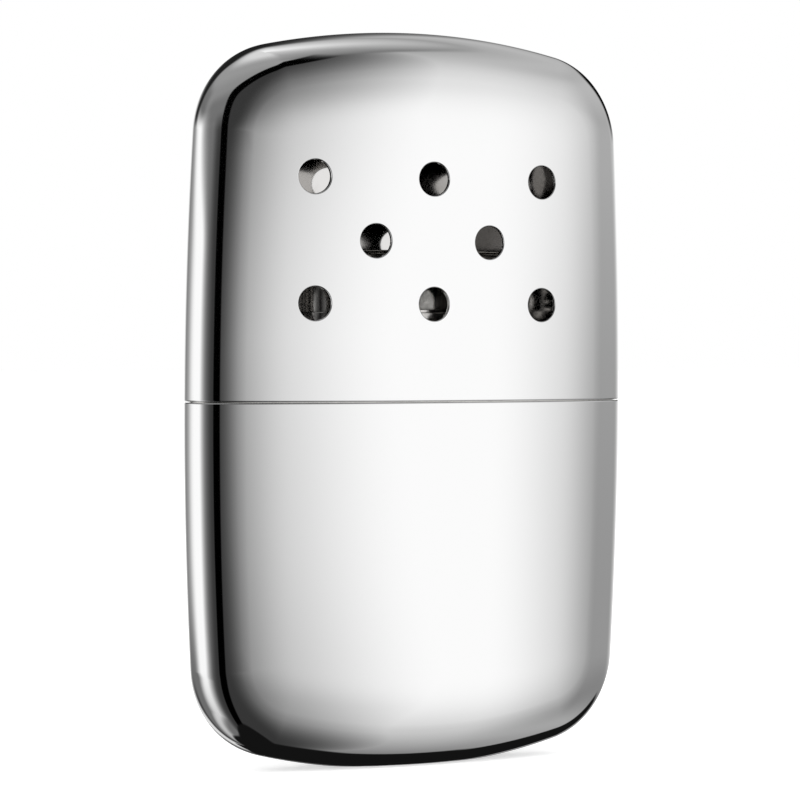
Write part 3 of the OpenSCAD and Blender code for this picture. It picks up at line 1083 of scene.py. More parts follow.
def deck_ring(inset, top_z, round_r, turn):
    """A ring on the round between the collar and the deck: turn 0 is on the collar."""
    return level_ring(inset + round_r * (1 - math.cos(turn)), top_z - round_r * (1 - math.sin(turn)))


def neck_plate():
    """Rings from the collar's foot up over the deck, through the hole and back down inside."""
    foot, deck = bottom("neck_plate"), top("neck_plate")
    bends = np.linspace(0, math.pi / 2, 9)
    walls = np.linspace(foot + FOOT_SOFT_RISE, deck - DECK_ROUND, 10)
    outer = [level_ring(COLLAR_INSET + FOOT_SOFT, foot)] + [level_ring(COLLAR_INSET, z) for z in walls]
    outer += [deck_ring(COLLAR_INSET, deck, DECK_ROUND, turn) for turn in bends[1:]]
    inset, under, inner_round = COLLAR_INSET + PLATE, deck - PLATE, DECK_ROUND - PLATE
    inner = [deck_ring(inset, under, inner_round, turn) for turn in bends[:0:-1]]
    inner += [level_ring(inset, z) for z in walls[::-1]] + [level_ring(inset - FOOT_SOFT, foot)]
    hole_line = ((HOLE_SOFT, deck), (0.0, deck - HOLE_SOFT), (0.0, under + HOLE_SOFT), (HOLE_SOFT, under))
    hole = [slot_ring(outer[-1], NECK_HOLE_R + grow, z) for grow, z in hole_line]
    between = [outer[-1] * (1 - t) + hole[0] * t for t in (0.35, 0.7)]
    beneath = [hole[-1] * (1 - t) + inner[0] * t for t in (0.3, 0.65)]
    return lofted("collar_plate", outer + between + hole + beneath + inner)


def slot_ring(ring, radius, z):
    """The points of a slot that lie straight inwards from a ring around it."""
    base, away, reach = from_middle_line(ring[:, 0], ring[:, 1], NECK_RUN)
    return np.column_stack([base + away[:, 0] * radius, away[:, 1] * radius, np.full(len(ring), z)])


dress(neck_plate(), "neck_plate", "plated_steel")

# %% Filler neck
MOUTH_ROLL = 0.12 * MM
MOUTH_NECK = 0.7 * MM
MOUTH_LIP = 0.45 * MM
EDGE_SOFT = 0.15 * MM
INNER_SOFT = 0.4 * MM
MOUTH_SOFT = 0.28 * MM
BELOW_ROLL_SOFT = 0.2 * MM

flange_z, mouth_z = bottom("filler_neck"), top("filler_neck")
neck_in = neck_high.y - NECK_FLANGE - NECK_SHEET
neck_out = neck_in + NECK_SHEET
neck_line = [
    (neck_in, flange_z), (neck_out + NECK_FLANGE, flange_z), (neck_out + NECK_FLANGE, flange_z + NECK_SHEET),
    (neck_out, flange_z + NECK_SHEET), (neck_out, mouth_z - MOUTH_NECK),
    (neck_out + MOUTH_ROLL, mouth_z - MOUTH_LIP), (neck_out + MOUTH_ROLL, mouth_z), (neck_in, mouth_z)]
neck_soft = [INNER_SOFT] + [EDGE_SOFT] * 3 + [BELOW_ROLL_SOFT, EDGE_SOFT] + [MOUTH_SOFT] * 2
neck = around_slot("rolled_neck", softened(neck_line, neck_soft, 5), NECK_RUN)
dress(neck, "filler_neck", "plated_steel")

# %% [markdown]
# ## Burner
# The burner is two pressed parts that hold the catalyst over the neck. The skirt is a straight band
# with a pressed bead and a turned foot, so a profile around the slot gives it. The housing is one
# sheet: its layout is unfolded around the slot, so that a distance from the middle line runs over the
# flat roof, around the rounded edge and down the wall. Arched windows pierce the wall, and bars cross
# the roof. They are drawn in that layout, so that their lips follow the sheet wherever it bends.

# %% Skirt
SKIRT_SHEET = 0.4 * MM
SKIRT_FLANGE = 0.3 * MM
SKIRT_GAP = 0.05 * MM
SKIRT_FOOT_SOFT = 0.3 * MM
FLANGE_SOFT = 0.12 * MM
BEAD_R = 0.25 * MM
# The bead's depth inside, as a share of its height outside
BEAD_INSIDE = 0.8
BEAD_HALF_H = 1.6 * 2 * BEAD_R
BEAD_POINTS = 13
BEAD_SOFT = 0.02 * MM

housing_low, housing_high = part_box("burner_housing")
HOUSING_R = housing_high.y
BURNER_RUN = 2 * (housing_high.x - housing_high.y)
skirt_foot, skirt_top = bottom("burner_skirt"), top("burner_skirt")
skirt_in = HOUSING_R + SKIRT_GAP
skirt_out = skirt_in + SKIRT_SHEET
bead_z = DECK_Z + (skirt_top - DECK_Z) / 2


def bead(radius_at, depth, rising):
    """A pressed bead on one side of the sheet, as points up or down its height."""
    spread = np.linspace(-1, 1, BEAD_POINTS) * (1 if rising else -1)
    return [(radius_at + depth * (0.5 + 0.5 * math.cos(s * math.pi)), bead_z + s * BEAD_HALF_H)
            for s in spread]


skirt_line = [(skirt_in, skirt_foot), (skirt_out + SKIRT_FLANGE, skirt_foot),
              (skirt_out + SKIRT_FLANGE, skirt_foot + SKIRT_SHEET), (skirt_out, skirt_foot + SKIRT_SHEET)]
skirt_line += bead(skirt_out, BEAD_R, True) + [(skirt_out, skirt_top), (skirt_in, skirt_top)]
skirt_line += bead(skirt_in, BEAD_R * BEAD_INSIDE, False)
skirt_soft = [SKIRT_FOOT_SOFT, EDGE_SOFT, EDGE_SOFT, FLANGE_SOFT] + [BEAD_SOFT] * BEAD_POINTS
skirt_soft += [EDGE_SOFT] * 2 + [BEAD_SOFT] * BEAD_POINTS
skirt = around_slot("beaded_skirt", softened(skirt_line, skirt_soft, 3), BURNER_RUN)
dress(skirt, "burner_skirt", "burner_steel")

# %% Sizes of the housing
HOUSING_TOP = housing_high.z
BURNER_SHEET = 0.4 * MM
BURNER_LIP = 0.1 * MM
ROOF_ROUND = 1.2 * MM
ROOF_WINDOW_W = 5.0 * MM
BAR_COUNT = 4
BAR_W = 1.1 * MM
BAR_SOFT = 0.5 * MM
ARCH_W = 3.2 * MM
ARCH_H = 2.7 * MM
ARCH_STEP = 5.4 * MM
ARCH_SOFT = 0.25 * MM
# Each row of arches: its foot, and the places of its arches in steps from the middle
ARCH_ROWS = [(DECK_Z + 5.0 * MM, range(-2, 3)), (DECK_Z + 8.8 * MM, (-1.5, -0.5, 0.5, 1.5))]
LAYOUT_STEP = 0.75 * MM
SIDE_STEP = 0.7 * MM
# A short cut across a corner passes its round at this share of the corner's reach
CORNER_CUT = 0.3
FLAT_R = HOUSING_R - ROOF_ROUND
BEND_RUN = ROOF_ROUND * math.pi / 2
print("housing %.1f mm wide and %.1f mm deep" % (2 * housing_high.x / MM, 2 * HOUSING_R / MM))


# %% Unfold and bend the housing
def unfold(height):
    """Distance from the middle line, in the layout, of a height on the housing's wall."""
    return FLAT_R + BEND_RUN + (HOUSING_TOP - ROOF_ROUND - height)


def housing_bend(points, depth):
    """Places and normals of layout points, on the sheet's outside or at a depth in it."""
    base, away, reach = from_middle_line(points[:, 0], points[:, 1], BURNER_RUN)
    turn = np.clip((reach - FLAT_R) / ROOF_ROUND, 0, math.pi / 2)
    r = np.minimum(reach, FLAT_R) + (ROOF_ROUND - depth) * np.sin(turn)
    z = HOUSING_TOP - ROOF_ROUND + (ROOF_ROUND - depth) * np.cos(turn)
    z -= np.maximum(reach - FLAT_R - BEND_RUN, 0)
    places = np.stack([base + away[:, 0] * r, away[:, 1] * r, z], -1)
    normals = np.stack([away[:, 0] * np.sin(turn), away[:, 1] * np.sin(turn), np.cos(turn)], -1)
    return places, normals


# %% Openings of the housing
def cut_corner(x, y, way_x, way_y, soft):
    """Three points that round a corner, from along one side to along the other."""
    near = soft * CORNER_CUT
    return [(x, y + way_y * soft), (x + way_x * near, y + way_y * near), (x + way_x * soft, y)]


def arch_outline(lip):
    """An arched window as [along, up] points, set out by the lip that is rolled into it."""
    w, base = ARCH_W / 2 + lip, -lip
    crown = ARCH_H - ARCH_W / 2
    points = [(w * math.cos(t), crown + w * math.sin(t)) for t in np.linspace(0, math.pi, 17)]
    points += cut_corner(-w, base, 1, 1, ARCH_SOFT)
    points += [(-w / 3, base), (w / 3, base)]
    points += cut_corner(w, base, -1, 1, ARCH_SOFT)[::-1]
    return points


def arch_shapes():
    """Two rows of arches on both long walls, and one arch in each round end."""
    shapes = []
    arch = arch_outline(BURNER_LIP)
    for low_z, columns in ARCH_ROWS:
        for side in (-1, 1):
            for column in columns:
                shapes.append([(column * ARCH_STEP + x, side * unfold(low_z + z)) for x, z in arch])
    low_z = ARCH_ROWS[0][0]
    for side in (-1, 1):
        shapes.append([(side * (BURNER_RUN / 2 + unfold(low_z + z) * math.cos(x / HOUSING_R)),
                        unfold(low_z + z) * math.sin(x / HOUSING_R)) for x, z in arch])
    return shapes


def roof_shapes():
    """The roof's window, which the bars part into boxes and two round ends."""
    pitch = (BURNER_RUN + ROOF_WINDOW_W) / (BAR_COUNT + 1)
    half_w = ROOF_WINDOW_W / 2 + BURNER_LIP
    bars = [(i - (BAR_COUNT - 1) / 2) * pitch for i in range(BAR_COUNT)]
    shapes = [rounded_box(left + BAR_W / 2 - BURNER_LIP, right - BAR_W / 2 + BURNER_LIP, half_w, BAR_SOFT)
              for left, right in zip(bars, bars[1:])]
    end_x = bars[-1] + BAR_W / 2 - BURNER_LIP
    turns = np.linspace(-math.pi / 2, math.pi / 2, 25)
    cell = [(BURNER_RUN / 2 + half_w * math.cos(t), half_w * math.sin(t)) for t in turns]
    cell += cut_corner(end_x, half_w, 1, -1, BAR_SOFT)[::-1]
    cell += [(end_x, y) for y in np.linspace(half_w - BAR_SOFT, -half_w + BAR_SOFT, 8)[1:-1]]
    cell += cut_corner(end_x, -half_w, 1, 1, BAR_SOFT)
    return shapes + [[(side * x, y) for x, y in cell] for side in (-1, 1)]


def rounded_box(x0, x1, half_w, soft):
    """A box with round corners and points along its sides."""
    points = []
    for cx, cy, start in ((x1 - soft, half_w - soft, 0), (x0 + soft, half_w - soft, 1),
                          (x0 + soft, -half_w + soft, 2), (x1 - soft, -half_w + soft, 3)):
        for t in np.linspace(0, math.pi / 2, 6):
            b = start * math.pi / 2 + t
            points.append((cx + soft * math.cos(b), cy + soft * math.sin(b)))
    dense = []
    for p, q in zip(points, points[1:] + points[:1]):
        pieces = max(1, int(math.dist(p, q) / SIDE_STEP))
        dense += [(p[0] + (q[0] - p[0]) * k / pieces, p[1] + (q[1] - p[1]) * k / pieces)
                  for k in range(pieces)]
    return dense


# %% Housing
middle, out = slot_path(BURNER_RUN)
rim = middle + out * unfold(housing_low.z + BURNER_LIP)
rim_halfway = (rim + np.roll(rim, -1, 0)) / 2
border = np.stack([rim, rim_halfway], 1).reshape(-1, 2)
housing = pressed("arched_housing", border, arch_shapes() + roof_shapes(), housing_bend, BURNER_SHEET,
                  BURNER_LIP, LAYOUT_STEP)
dress(housing, "burner_housing", "burner_steel")

# %% Gauze ring
RING_RIM = 1.1 * MM
RING_SOFT = 0.1 * MM
ring_low, ring_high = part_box("gauze_ring")
ring_line = [(ring_high.y - RING_RIM, ring_low.z), (ring_high.y, ring_low.z),
             (ring_high.y, ring_high.z), (ring_high.y - RING_RIM, ring_high.z)]
ring = around_slot("flat_ring", softened(ring_line, [RING_SOFT] * 4, 4), BURNER_RUN)
dress(ring, "gauze_ring", "burner_steel")


# %% [markdown]
# ## Growing pieces from node trees
# Woven wire and loose fibres repeat by the hundred, which is work for Geometry Nodes. A loop in the
# script could place them too, but a tree keeps the rule in one place and lets its sizes be changed. A
# tree is built once with named inputs, run on a start mesh, and its result is kept as a plain mesh.


# %% A Geometry Nodes tree with named inputs
class GeometryTree:
    """A Geometry Nodes tree with named inputs, run once on an object and turned into a plain mesh."""

    def __init__(self, name, inputs):
        self.tree = bpy.data.node_groups.new(name, "GeometryNodeTree")
        face = self.tree.interface
        face.new_socket("Geometry", in_out="INPUT", socket_type="NodeSocketGeometry")
        for title, kind in inputs.items():
            face.new_socket(title, in_out="INPUT", socket_type="NodeSocket" + kind)
        face.new_socket("Geometry", in_out="OUTPUT", socket_type="NodeSocketGeometry")
        self.entry = self.tree.nodes.new("NodeGroupInput")
        self.exit = self.tree.nodes.new("NodeGroupOutput")
        self.start = Signal(self.tree, self.entry.outputs["Geometry"])

    def input(self, title):
        return Signal(self.tree, self.entry.outputs[title])

    def node(self, kind, settings=None, **values):
        """A node with its settings, and its inputs given by name with spaces as underscores."""
        made = self.tree.nodes.new(kind)
        for key, value in (settings or {}).items():
            setattr(made, key, value)
        for key, value in values.items():
            sockets = [s for s in made.inputs if s.name == key.replace("_", " ") and s.enabled]
            connect(self.tree, value, sockets[0])
        return made

    def geometry(self, kind, settings=None, **values):
        """The first output of a new node."""
        return Signal(self.tree, self.node(kind, settings, **values).outputs[0])

    def place(self):
        """The x, y and z of the position."""
        split = self.node("ShaderNodeSeparateXYZ", Vector=self.geometry("GeometryNodeInputPosition"))
        return [Signal(self.tree, out) for out in split.outputs]

    def vector(self, x=0.0, y=0.0, z=0.0):
        return self.geometry("ShaderNodeCombineXYZ", X=x, Y=y, Z=z)

    def joined(self, *parts):
        """All the parts as one geometry."""
        node = self.tree.nodes.new("GeometryNodeJoinGeometry")
        for part in parts:
            self.tree.links.new(part.socket, node.inputs[0])
        return Signal(self.tree, node.outputs[0])

    def finish(self, geometry, material):
        """Ends the tree with real faces, smooth shading and a material."""
        whole = self.geometry("GeometryNodeRealizeInstances", Geometry=geometry)
        whole = self.geometry("GeometryNodeSetShadeSmooth", Geometry=whole)
        whole = self.geometry("GeometryNodeSetMaterial", Geometry=whole, Material=material)
        connect(self.tree, whole, self.exit.inputs[0])

    def grow(self, name, start, **values):
        """Runs the tree on a mesh and returns what it makes as an object of its own."""
        carrier = in_scene(name + "_carrier", start)
        modifier = carrier.modifiers.new(name, "NODES")
        modifier.node_group = self.tree
        for item in self.tree.interface.items_tree:
            title = item.name.replace(" ", "_")
            if item.in_out == "INPUT" and title in values:
                modifier[item.identifier] = values[title]
        made = carrier.evaluated_get(bpy.context.evaluated_depsgraph_get())
        mesh = bpy.data.meshes.new_from_object(made)
        mesh.name = name
        bpy.data.objects.remove(carrier)
        triangles = sum(len(p.vertices) - 2 for p in mesh.polygons)
        print("%s: %d points, %d triangles" % (name, len(mesh.vertices), triangles))
        return in_scene(name, mesh)


# %% [markdown]
# ## Woven gauze
# A screen of wire holds the catalyst above and below. A picture of wires on a flat face would do from
# afar, but light falls between real ones. One tree weaves both gauzes: straight wires stand on a row of
# points and are cut to the outline of the slot, and a cosine lifts each over one neighbour and under
# the next.

# %% The weave
WIRE_R = 0.07 * MM
WIRE_PITCH = 0.75 * MM
WEAVE_RISE = 0.064 * MM
WIRE_SIDES = 5
# Length of a straight piece of wire, as a share of the pitch
WIRE_STEP = 0.25
# How far along the round ends the wires across still stand, as a share of their radius
LAST_WIRE = 0.97


def weave_tree():
    tree = GeometryTree("woven_gauze", {
        "Half Run": "Float", "Radius": "Float", "Level": "Float", "Pitch": "Float", "Rise": "Float",
        "Wire": "Float", "Material": "Material"})
    half_run, radius, pitch = tree.input("Half Run"), tree.input("Radius"), tree.input("Pitch")

    def wires(count_over, reach, row, cut, sign):
        """Wires across a row of points. cut gives half a wire's length from its place in the row."""
        count = count_over.math("FLOOR") * 2 + 1
        first = count_over.math("FLOOR") * pitch * -1
        line = tree.geometry(
            "GeometryNodeMeshLine", {"mode": "OFFSET"}, Count=count,
            Start_Location=tree.vector(**{row: first}), Offset=tree.vector(**{row: pitch}))
        straight = tree.geometry(
            "GeometryNodeCurvePrimitiveLine", Start=tree.vector(**{reach: -1.0}),
            End=tree.vector(**{reach: 1.0}))
        x, y, z = tree.place()
        size = {"x": 1.0, "y": 1.0, "z": 1.0}
        size[reach] = cut(x, y)
        set_out = tree.geometry(
            "GeometryNodeInstanceOnPoints", Points=line, Instance=straight, Scale=tree.vector(**size))
        laid = tree.geometry("GeometryNodeRealizeInstances", Geometry=set_out)
        fine = tree.geometry(
            "GeometryNodeResampleCurve", {"mode": "LENGTH"}, Curve=laid, Length=pitch * WIRE_STEP)
        x, y, z = tree.place()
        wave = ((x + y) * math.pi).math("DIVIDE", pitch).math("COSINE") * tree.input("Rise") * sign
        lifted = tree.geometry(
            "GeometryNodeSetPosition", Geometry=fine, Offset=tree.vector(z=wave + tree.input("Level")))
        ring = tree.geometry(
            "GeometryNodeCurvePrimitiveCircle", Resolution=WIRE_SIDES, Radius=tree.input("Wire"))
        return tree.geometry(
            "GeometryNodeCurveToMesh", Curve=lifted, Profile_Curve=ring, Fill_Caps=True)

    def past_end(x):
        return (abs(x) - half_run).math("MAXIMUM", 0.0)

    long_wires = wires(
        radius.math("DIVIDE", pitch), "x", "y",
        lambda x, y: half_run + (radius * radius - y * y).math("SQRT"), 1.0)
    short_wires = wires(
        (half_run + radius * LAST_WIRE).math("DIVIDE", pitch), "y", "x",
        lambda x, y: (radius * radius - past_end(x) * past_end(x)).math("SQRT"), -1.0)
    tree.finish(tree.joined(long_wires, short_wires), tree.input("Material"))
    return tree


def gauze(name, node, weave):
    """A gauze that fills its node's outline, in the middle of its thickness."""
    low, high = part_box(node)
    start = bpy.data.meshes.new(name + "_start")
    return weave.grow(
        name, start, Half_Run=BURNER_RUN / 2, Radius=high.y - WIRE_R, Pitch=WIRE_PITCH,
        Level=(low.z + high.z) / 2, Rise=WEAVE_RISE, Wire=WIRE_R, Material=FINISHES["wire_gauze"])


weave = weave_tree()
for node in ("upper_gauze", "lower_gauze"):
    dress(gauze("woven_" + node, node, weave), node, "wire_gauze")


# %% [markdown]
# ## Catalyst mat and cotton
# The mat is glass fibre that carries the catalyst, and the cotton holds the fuel. A pack of fibres has
# no sheet to follow, so both start from the solid that the frame holds: a voxel remesh gives it even
# faces, and noise draws its surface in so that it looks packed by hand. A second tree lays loose fibres
# over the mat, and over the cotton where the open neck shows it.

# %% Packed fibres
PACK_MERGE = 1e-6
# Over 1, so that the highest lumps are pressed flat
LUMP_GAIN = 1.4


def packed(name, node, voxel, depth, grain):
    """A lumpy copy of a soft node, never larger than the node itself."""
    mesh = bpy.data.objects[node].data.copy()
    mesh.name = name
    mesh.materials.clear()
    work = bmesh.new()
    work.from_mesh(mesh)
    bmesh.ops.remove_doubles(work, verts=work.verts, dist=PACK_MERGE)
    work.to_mesh(mesh)
    work.free()
    obj = in_scene(name, mesh)
    remesh = obj.modifiers.new("remesh", "REMESH")
    remesh.mode, remesh.voxel_size = "VOXEL", voxel
    smooth = obj.modifiers.new("soften", "SMOOTH")
    smooth.factor, smooth.iterations = 0.5, 4
    even = bpy.data.meshes.new_from_object(obj.evaluated_get(bpy.context.evaluated_depsgraph_get()))
    obj.modifiers.clear()
    obj.data = even
    places = np.array([v.co for v in even.vertices])
    normals = np.array([v.normal for v in even.vertices])
    lump = np.array([noise.fractal(Vector(p) / grain, 1.0, 2.0, 4) for p in places])
    sunk = depth * (0.5 - 0.5 * np.clip(lump * LUMP_GAIN, -1, 1))
    for vertex, place in zip(even.vertices, places - normals * sunk[:, None]):
        vertex.co = place
    even.update()
    even.shade_smooth()
    print("%s: %d points" % (name, len(even.vertices)))
    return obj


# %% A tree for loose fibres
STRAND_STEPS = 5
STRAND_SIDES = 3
LENGTH_RANGE = (0.5, 1.2)
CURL_RANGE = (-1.4, 1.4)


def fibre_tree():
    """Fibres that lie on the faces above a height, each turned, curled and sized by chance."""
    tree = GeometryTree("loose_fibres", {
        "Count": "Float", "Length": "Float", "Curl": "Float", "Fibre": "Float", "Seed": "Int",
        "Above": "Float", "Material": "Material"})
    x, y, z = tree.place()
    spread = tree.node(
        "GeometryNodeDistributePointsOnFaces", {"distribute_method": "RANDOM"}, Mesh=tree.start,
        Selection=z.math("GREATER_THAN", tree.input("Above")), Density=tree.input("Count"),
        Seed=tree.input("Seed"))
    points, normal = (Signal(tree.tree, spread.outputs[title]) for title in ("Points", "Normal"))

    def chance(low, high, seed_step):
        node = tree.node(
            "FunctionNodeRandomValue", {"data_type": "FLOAT"}, Min=low, Max=high,
            Seed=tree.input("Seed") + float(seed_step))
        return Signal(tree.tree, next(out for out in node.outputs if out.enabled))

    lie = tree.geometry("FunctionNodeAlignRotationToVector", {"axis": "Z"}, Vector=normal)
    turned = tree.geometry(
        "FunctionNodeRotateRotation", {"rotation_space": "LOCAL"}, Rotation=lie,
        Rotate_By=tree.vector(z=chance(0.0, 2 * math.pi, 1)))
    strand = tree.geometry(
        "GeometryNodeCurveQuadraticBezier", Resolution=STRAND_STEPS,
        Start=tree.vector(x=tree.input("Length") * -0.5),
        Middle=tree.vector(y=tree.input("Curl"), z=tree.input("Fibre") * 2.0),
        End=tree.vector(x=tree.input("Length") * 0.5))
    ring = tree.geometry(
        "GeometryNodeCurvePrimitiveCircle", Resolution=STRAND_SIDES, Radius=tree.input("Fibre"))
    solid = tree.geometry(
        "GeometryNodeCurveToMesh", Curve=strand, Profile_Curve=ring, Fill_Caps=True)
    placed = tree.geometry(
        "GeometryNodeInstanceOnPoints", Points=points, Instance=solid, Rotation=turned,
        Scale=tree.vector(x=chance(*LENGTH_RANGE, 2), y=chance(*CURL_RANGE, 3), z=1.0))
    tree.finish(tree.joined(tree.start, placed), tree.input("Material"))
    return tree


fibres = fibre_tree()
print("nodes in the tree for fibres:", len(fibres.tree.nodes))

# %% Keep the fibres in their space
GIVE = 0.03


def eased(values, low, high):
    """Presses what lies past a limit almost flat against it."""
    held = np.clip(values, low, high)
    return held + GIVE * (values - held)


def hold_in(piece, node, run=None):
    """Presses stray fibres back into the space of their node, a box or a slot with round ends."""
    low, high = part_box(node)
    places = np.array([v.co for v in piece.data.vertices])
    places[:, 2] = eased(places[:, 2], low.z, high.z)
    if run is None:
        places[:, :2] = eased(places[:, :2], np.array(low[:2]), np.array(high[:2]))
    else:
        base, away, reach = from_middle_line(places[:, 0], places[:, 1], run)
        away *= eased(reach, 0, high.y)[:, None]
        places[:, 0], places[:, 1] = base + away[:, 0], away[:, 1]
    piece.data.vertices.foreach_set("co", places.reshape(-1))
    piece.data.update()


def with_fibres(name, body, finish, above=-1.0, **values):
    """The body with loose fibres on it, as one piece."""
    made = fibres.grow(name, body.data, Material=FINISHES[finish], Above=above, **values)
    bpy.data.objects.remove(body)
    return made


# %% Catalyst mat
FELT_COUNT = 2.6e6
FELT_SEED = 7
felt_body = packed("felt_body", "catalyst_mat", voxel=0.33 * MM, depth=0.28 * MM, grain=1.3 * MM)
felt = with_fibres(
    "catalyst_felt", felt_body, "catalyst_fibre", Count=FELT_COUNT, Length=1.5 * MM,
    Curl=0.35 * MM, Fibre=0.022 * MM, Seed=FELT_SEED)
hold_in(felt, "catalyst_mat", BURNER_RUN)
dress(felt, "catalyst_mat", "catalyst_fibre")

# %% Cotton
TUFT_Z = top("wadding_core") - 2 * MM
TUFT_COUNT = 1.1e7
TUFT_SEED = 20
for number, node in enumerate(("wadding_back", "wadding_core", "wadding_front")):
    batt = packed("batt_body_" + node, node, voxel=0.8 * MM, depth=0.4 * MM, grain=5 * MM)
    if top(node) > TUFT_Z:
        batt = with_fibres(
            "tufted_" + node, batt, "cotton", above=TUFT_Z, Count=TUFT_COUNT, Length=2.4 * MM,
            Curl=0.9 * MM, Fibre=0.028 * MM, Seed=TUFT_SEED + number)
        hold_in(batt, node)
    batt.name = "cotton_" + node
    dress(batt, node, "cotton")


# %% [markdown]
# ## Camera
# The view was worked out from the photo: the outline, the vents and the seam, fitted as a perspective
# view of the case at its real size. The camera stands 27.7 degrees to the left, a little above the seam.

# %% Camera
VIEW_LEFT = math.radians(27.72)
VIEW_DOWN = math.radians(1.386)
VIEW_ROLL = math.radians(0.317)
VIEW_DISTANCE = 449.8 * MM
VIEW_RISE = 11.2 * MM
FOCAL_PX = 3295.8
FRAME_PX = 800
SHIFT_PX = Vector((-8.0, -1.3))
SENSOR_W = 36

camera = in_scene("camera", bpy.data.cameras.new("camera"))
bpy.context.scene.camera = camera
camera.data.sensor_width = SENSOR_W
camera.data.lens = FOCAL_PX / FRAME_PX * SENSOR_W
camera.data.shift_x, camera.data.shift_y = SHIFT_PX / FRAME_PX
camera.data.clip_start, camera.data.clip_end = 0.01, 20
level_right = Vector((math.cos(VIEW_LEFT), -math.sin(VIEW_LEFT), 0))
level_ahead = Vector((math.sin(VIEW_LEFT), math.cos(VIEW_LEFT), 0))
upright = Vector((0, 0, 1))
ahead = level_ahead * math.cos(VIEW_DOWN) - upright * math.sin(VIEW_DOWN)
above = level_ahead * math.sin(VIEW_DOWN) + upright * math.cos(VIEW_DOWN)
right = level_right * math.cos(VIEW_ROLL) + above * math.sin(VIEW_ROLL)
above = above * math.cos(VIEW_ROLL) - level_right * math.sin(VIEW_ROLL)
turn = camera.matrix_world.to_3x3()
for row in range(3):
    turn[row] = (right[row], above[row], -ahead[row])
camera.matrix_world = turn.to_4x4()
camera.location = -level_ahead * VIEW_DISTANCE + Vector((0, 0, SEAM_Z + VIEW_RISE))
print("camera at", tuple(round(c, 4) for c in camera.location), "lens", round(camera.data.lens, 1))


# %% [markdown]
# ## The studio that the chrome mirrors
# A mirror has no look of its own: it shows its surroundings. A picture could be wrapped round the
# scene, but a formula needs no file and each of its panels can be moved. The bands of light are worked
# out as a studio in angles, seen from the object: `a` goes round from the front, positive to the right,
# and `e` is the elevation, both in degrees. Levels are display levels, 0 black and 1 white. There is a
# pale sweep in front that fades to the left, a narrow black flag left of the camera whose arm arches
# over the top, a tall light box on the left, a ceiling, and a dark table below. The rear is dim above
# and below, with one pale light low behind, so that the back has a bright band of its own.

# %% Angles of the studio
world = bpy.data.worlds.new("studio")
bpy.context.scene.world = world
world.use_nodes = True
tree = world.node_tree
tree.nodes.clear()
split = new_node(tree, "SeparateXYZ")
tree.links.new(new_node(tree, "TexCoord").outputs["Generated"], split.inputs[0])
east, north, up = (Signal(tree, split.outputs[i]) for i in range(3))
DEGREES = 180 / math.pi
a = east.math("ARCTAN2", -north) * DEGREES
e = up.math("ARCSINE") * DEGREES
tilt = abs(e)

# %% The sweep
# Bright in front, fading to both sides and at both ends.
turned = a - tilt * 0.62 - tilt.smooth(4, 12, 0, 6) - e.smooth(1, 9, 0, 6)
sweep = turned.smooth(-38, 24, 0.22, 0.98)
high_loss = e.smooth(2, 12, 0, 0.09) + (e - 8).math("MAXIMUM", 0) * 0.0053
low_loss = (-e).smooth(5, 22, 0, 0.20) + (-e - 20).math("MAXIMUM", 0) * 0.0062
sweep = sweep.least(-high_loss - low_loss + 0.99)
right_wall = (e.smooth(-8, 28, 0.41, 0.10) - e.smooth(-42, -6, 0.38, 0)) * e.smooth(30, 46, 1, 0)
sweep = sweep - a.smooth(36, e.smooth(-4, 10, 66, 80)) * right_wall
sweep = sweep + a.smooth(98, 128, 0, 0.3) * e.smooth(-16, -4) * e.smooth(8, 24, 1, 0)

# %% The flag
# Upright at 32 degrees to the left, with an arm that leans over to the right.
beside = a + 32.5 - e.smooth(-14, -6, 1.3, 0)
below_arm = (a * 0.42 + a.math("MAXIMUM", 0) * 0.3 + 41.8 - e) * 0.865
across = beside.math("SMOOTH_MIN", below_arm, 10.0)
flag = abs(across).smooth(3.3, 5.2, 1, 0) * a.smooth(10, 26, 1, 0)

# %% The left side
# A grey wall that is dark beside the flag, and the light box, which leans back as it rises.
wall = e.smooth(35, 55, 0.53, 0.58) + e.smooth(58, 80, 0, 0.25)
wall = wall - a.smooth(-110, -75, 0.09, 0) * e.smooth(36, 46, 1, 0)
wall = wall - a.smooth(-84, -60, 0.02, 0.09) * e.smooth(8, 14) * e.smooth(24, 36, 1, 0)
wall = e.smooth(5, 20).blend(a.smooth(-52, -38, 0.42, 0.22), wall)
depth = (-e - 44).math("MAXIMUM", 0)
aside = a - e.smooth(3.5, 8.5, -80, -106) - e.smooth(-16, -8, 16, 0) + depth * 2
rise = e.smooth(4, 8)
tight = rise.math("MAXIMUM", e.smooth(-15, -9, 1, 0))
to_right = (aside + tight * 12 - 14).math("DIVIDE", rise * 31 + depth * 0.8 + 19)
to_left = (-aside - 3).math("DIVIDE", e.smooth(-12, -6, 40, 103) + depth * 1.5)
light_box = to_right.math("MAXIMUM", to_left).smooth(0, 1, 1, 0) * e.smooth(8, 24, 1, 0)
left = light_box.blend(wall, (-e - 8).math("MAXIMUM", 0) * -0.0048 + 0.98)

# %% The whole studio
# The ceiling past the arm, the dark places and the light behind, and the dark table below.
FLAG_LEVEL = 0.02
REAR_LEVEL = 0.14
REAR_LIGHT_LEVEL = 0.85
TABLE_LEVEL = 0.1
ceiling = e.smooth(52, 66, 0.46, 0.60) + e.smooth(62, 86, 0, 0.24) - abs(a - 30).smooth(8, 34, 0.05, 0)
ceiling = ceiling + a.smooth(50, 100, 0, 0.1)
soft = a.smooth(5, 40, 1, 9)
level = across.smooth(-soft, soft, 1, 0).blend(sweep, left)
level = ((e - 55).smooth(-2, 4) * a.smooth(0, 20)).blend(level, ceiling)
back_flag = abs(a - 126).smooth(8, 22, 1, 0) * abs(e - 17).smooth(5, 15, 1, 0)
level = flag.math("MAXIMUM", back_flag).blend(level, FLAG_LEVEL)
rear_above = abs(a).smooth(138, 160) * e.smooth(3, 14) * e.smooth(52, 70, 1, 0)
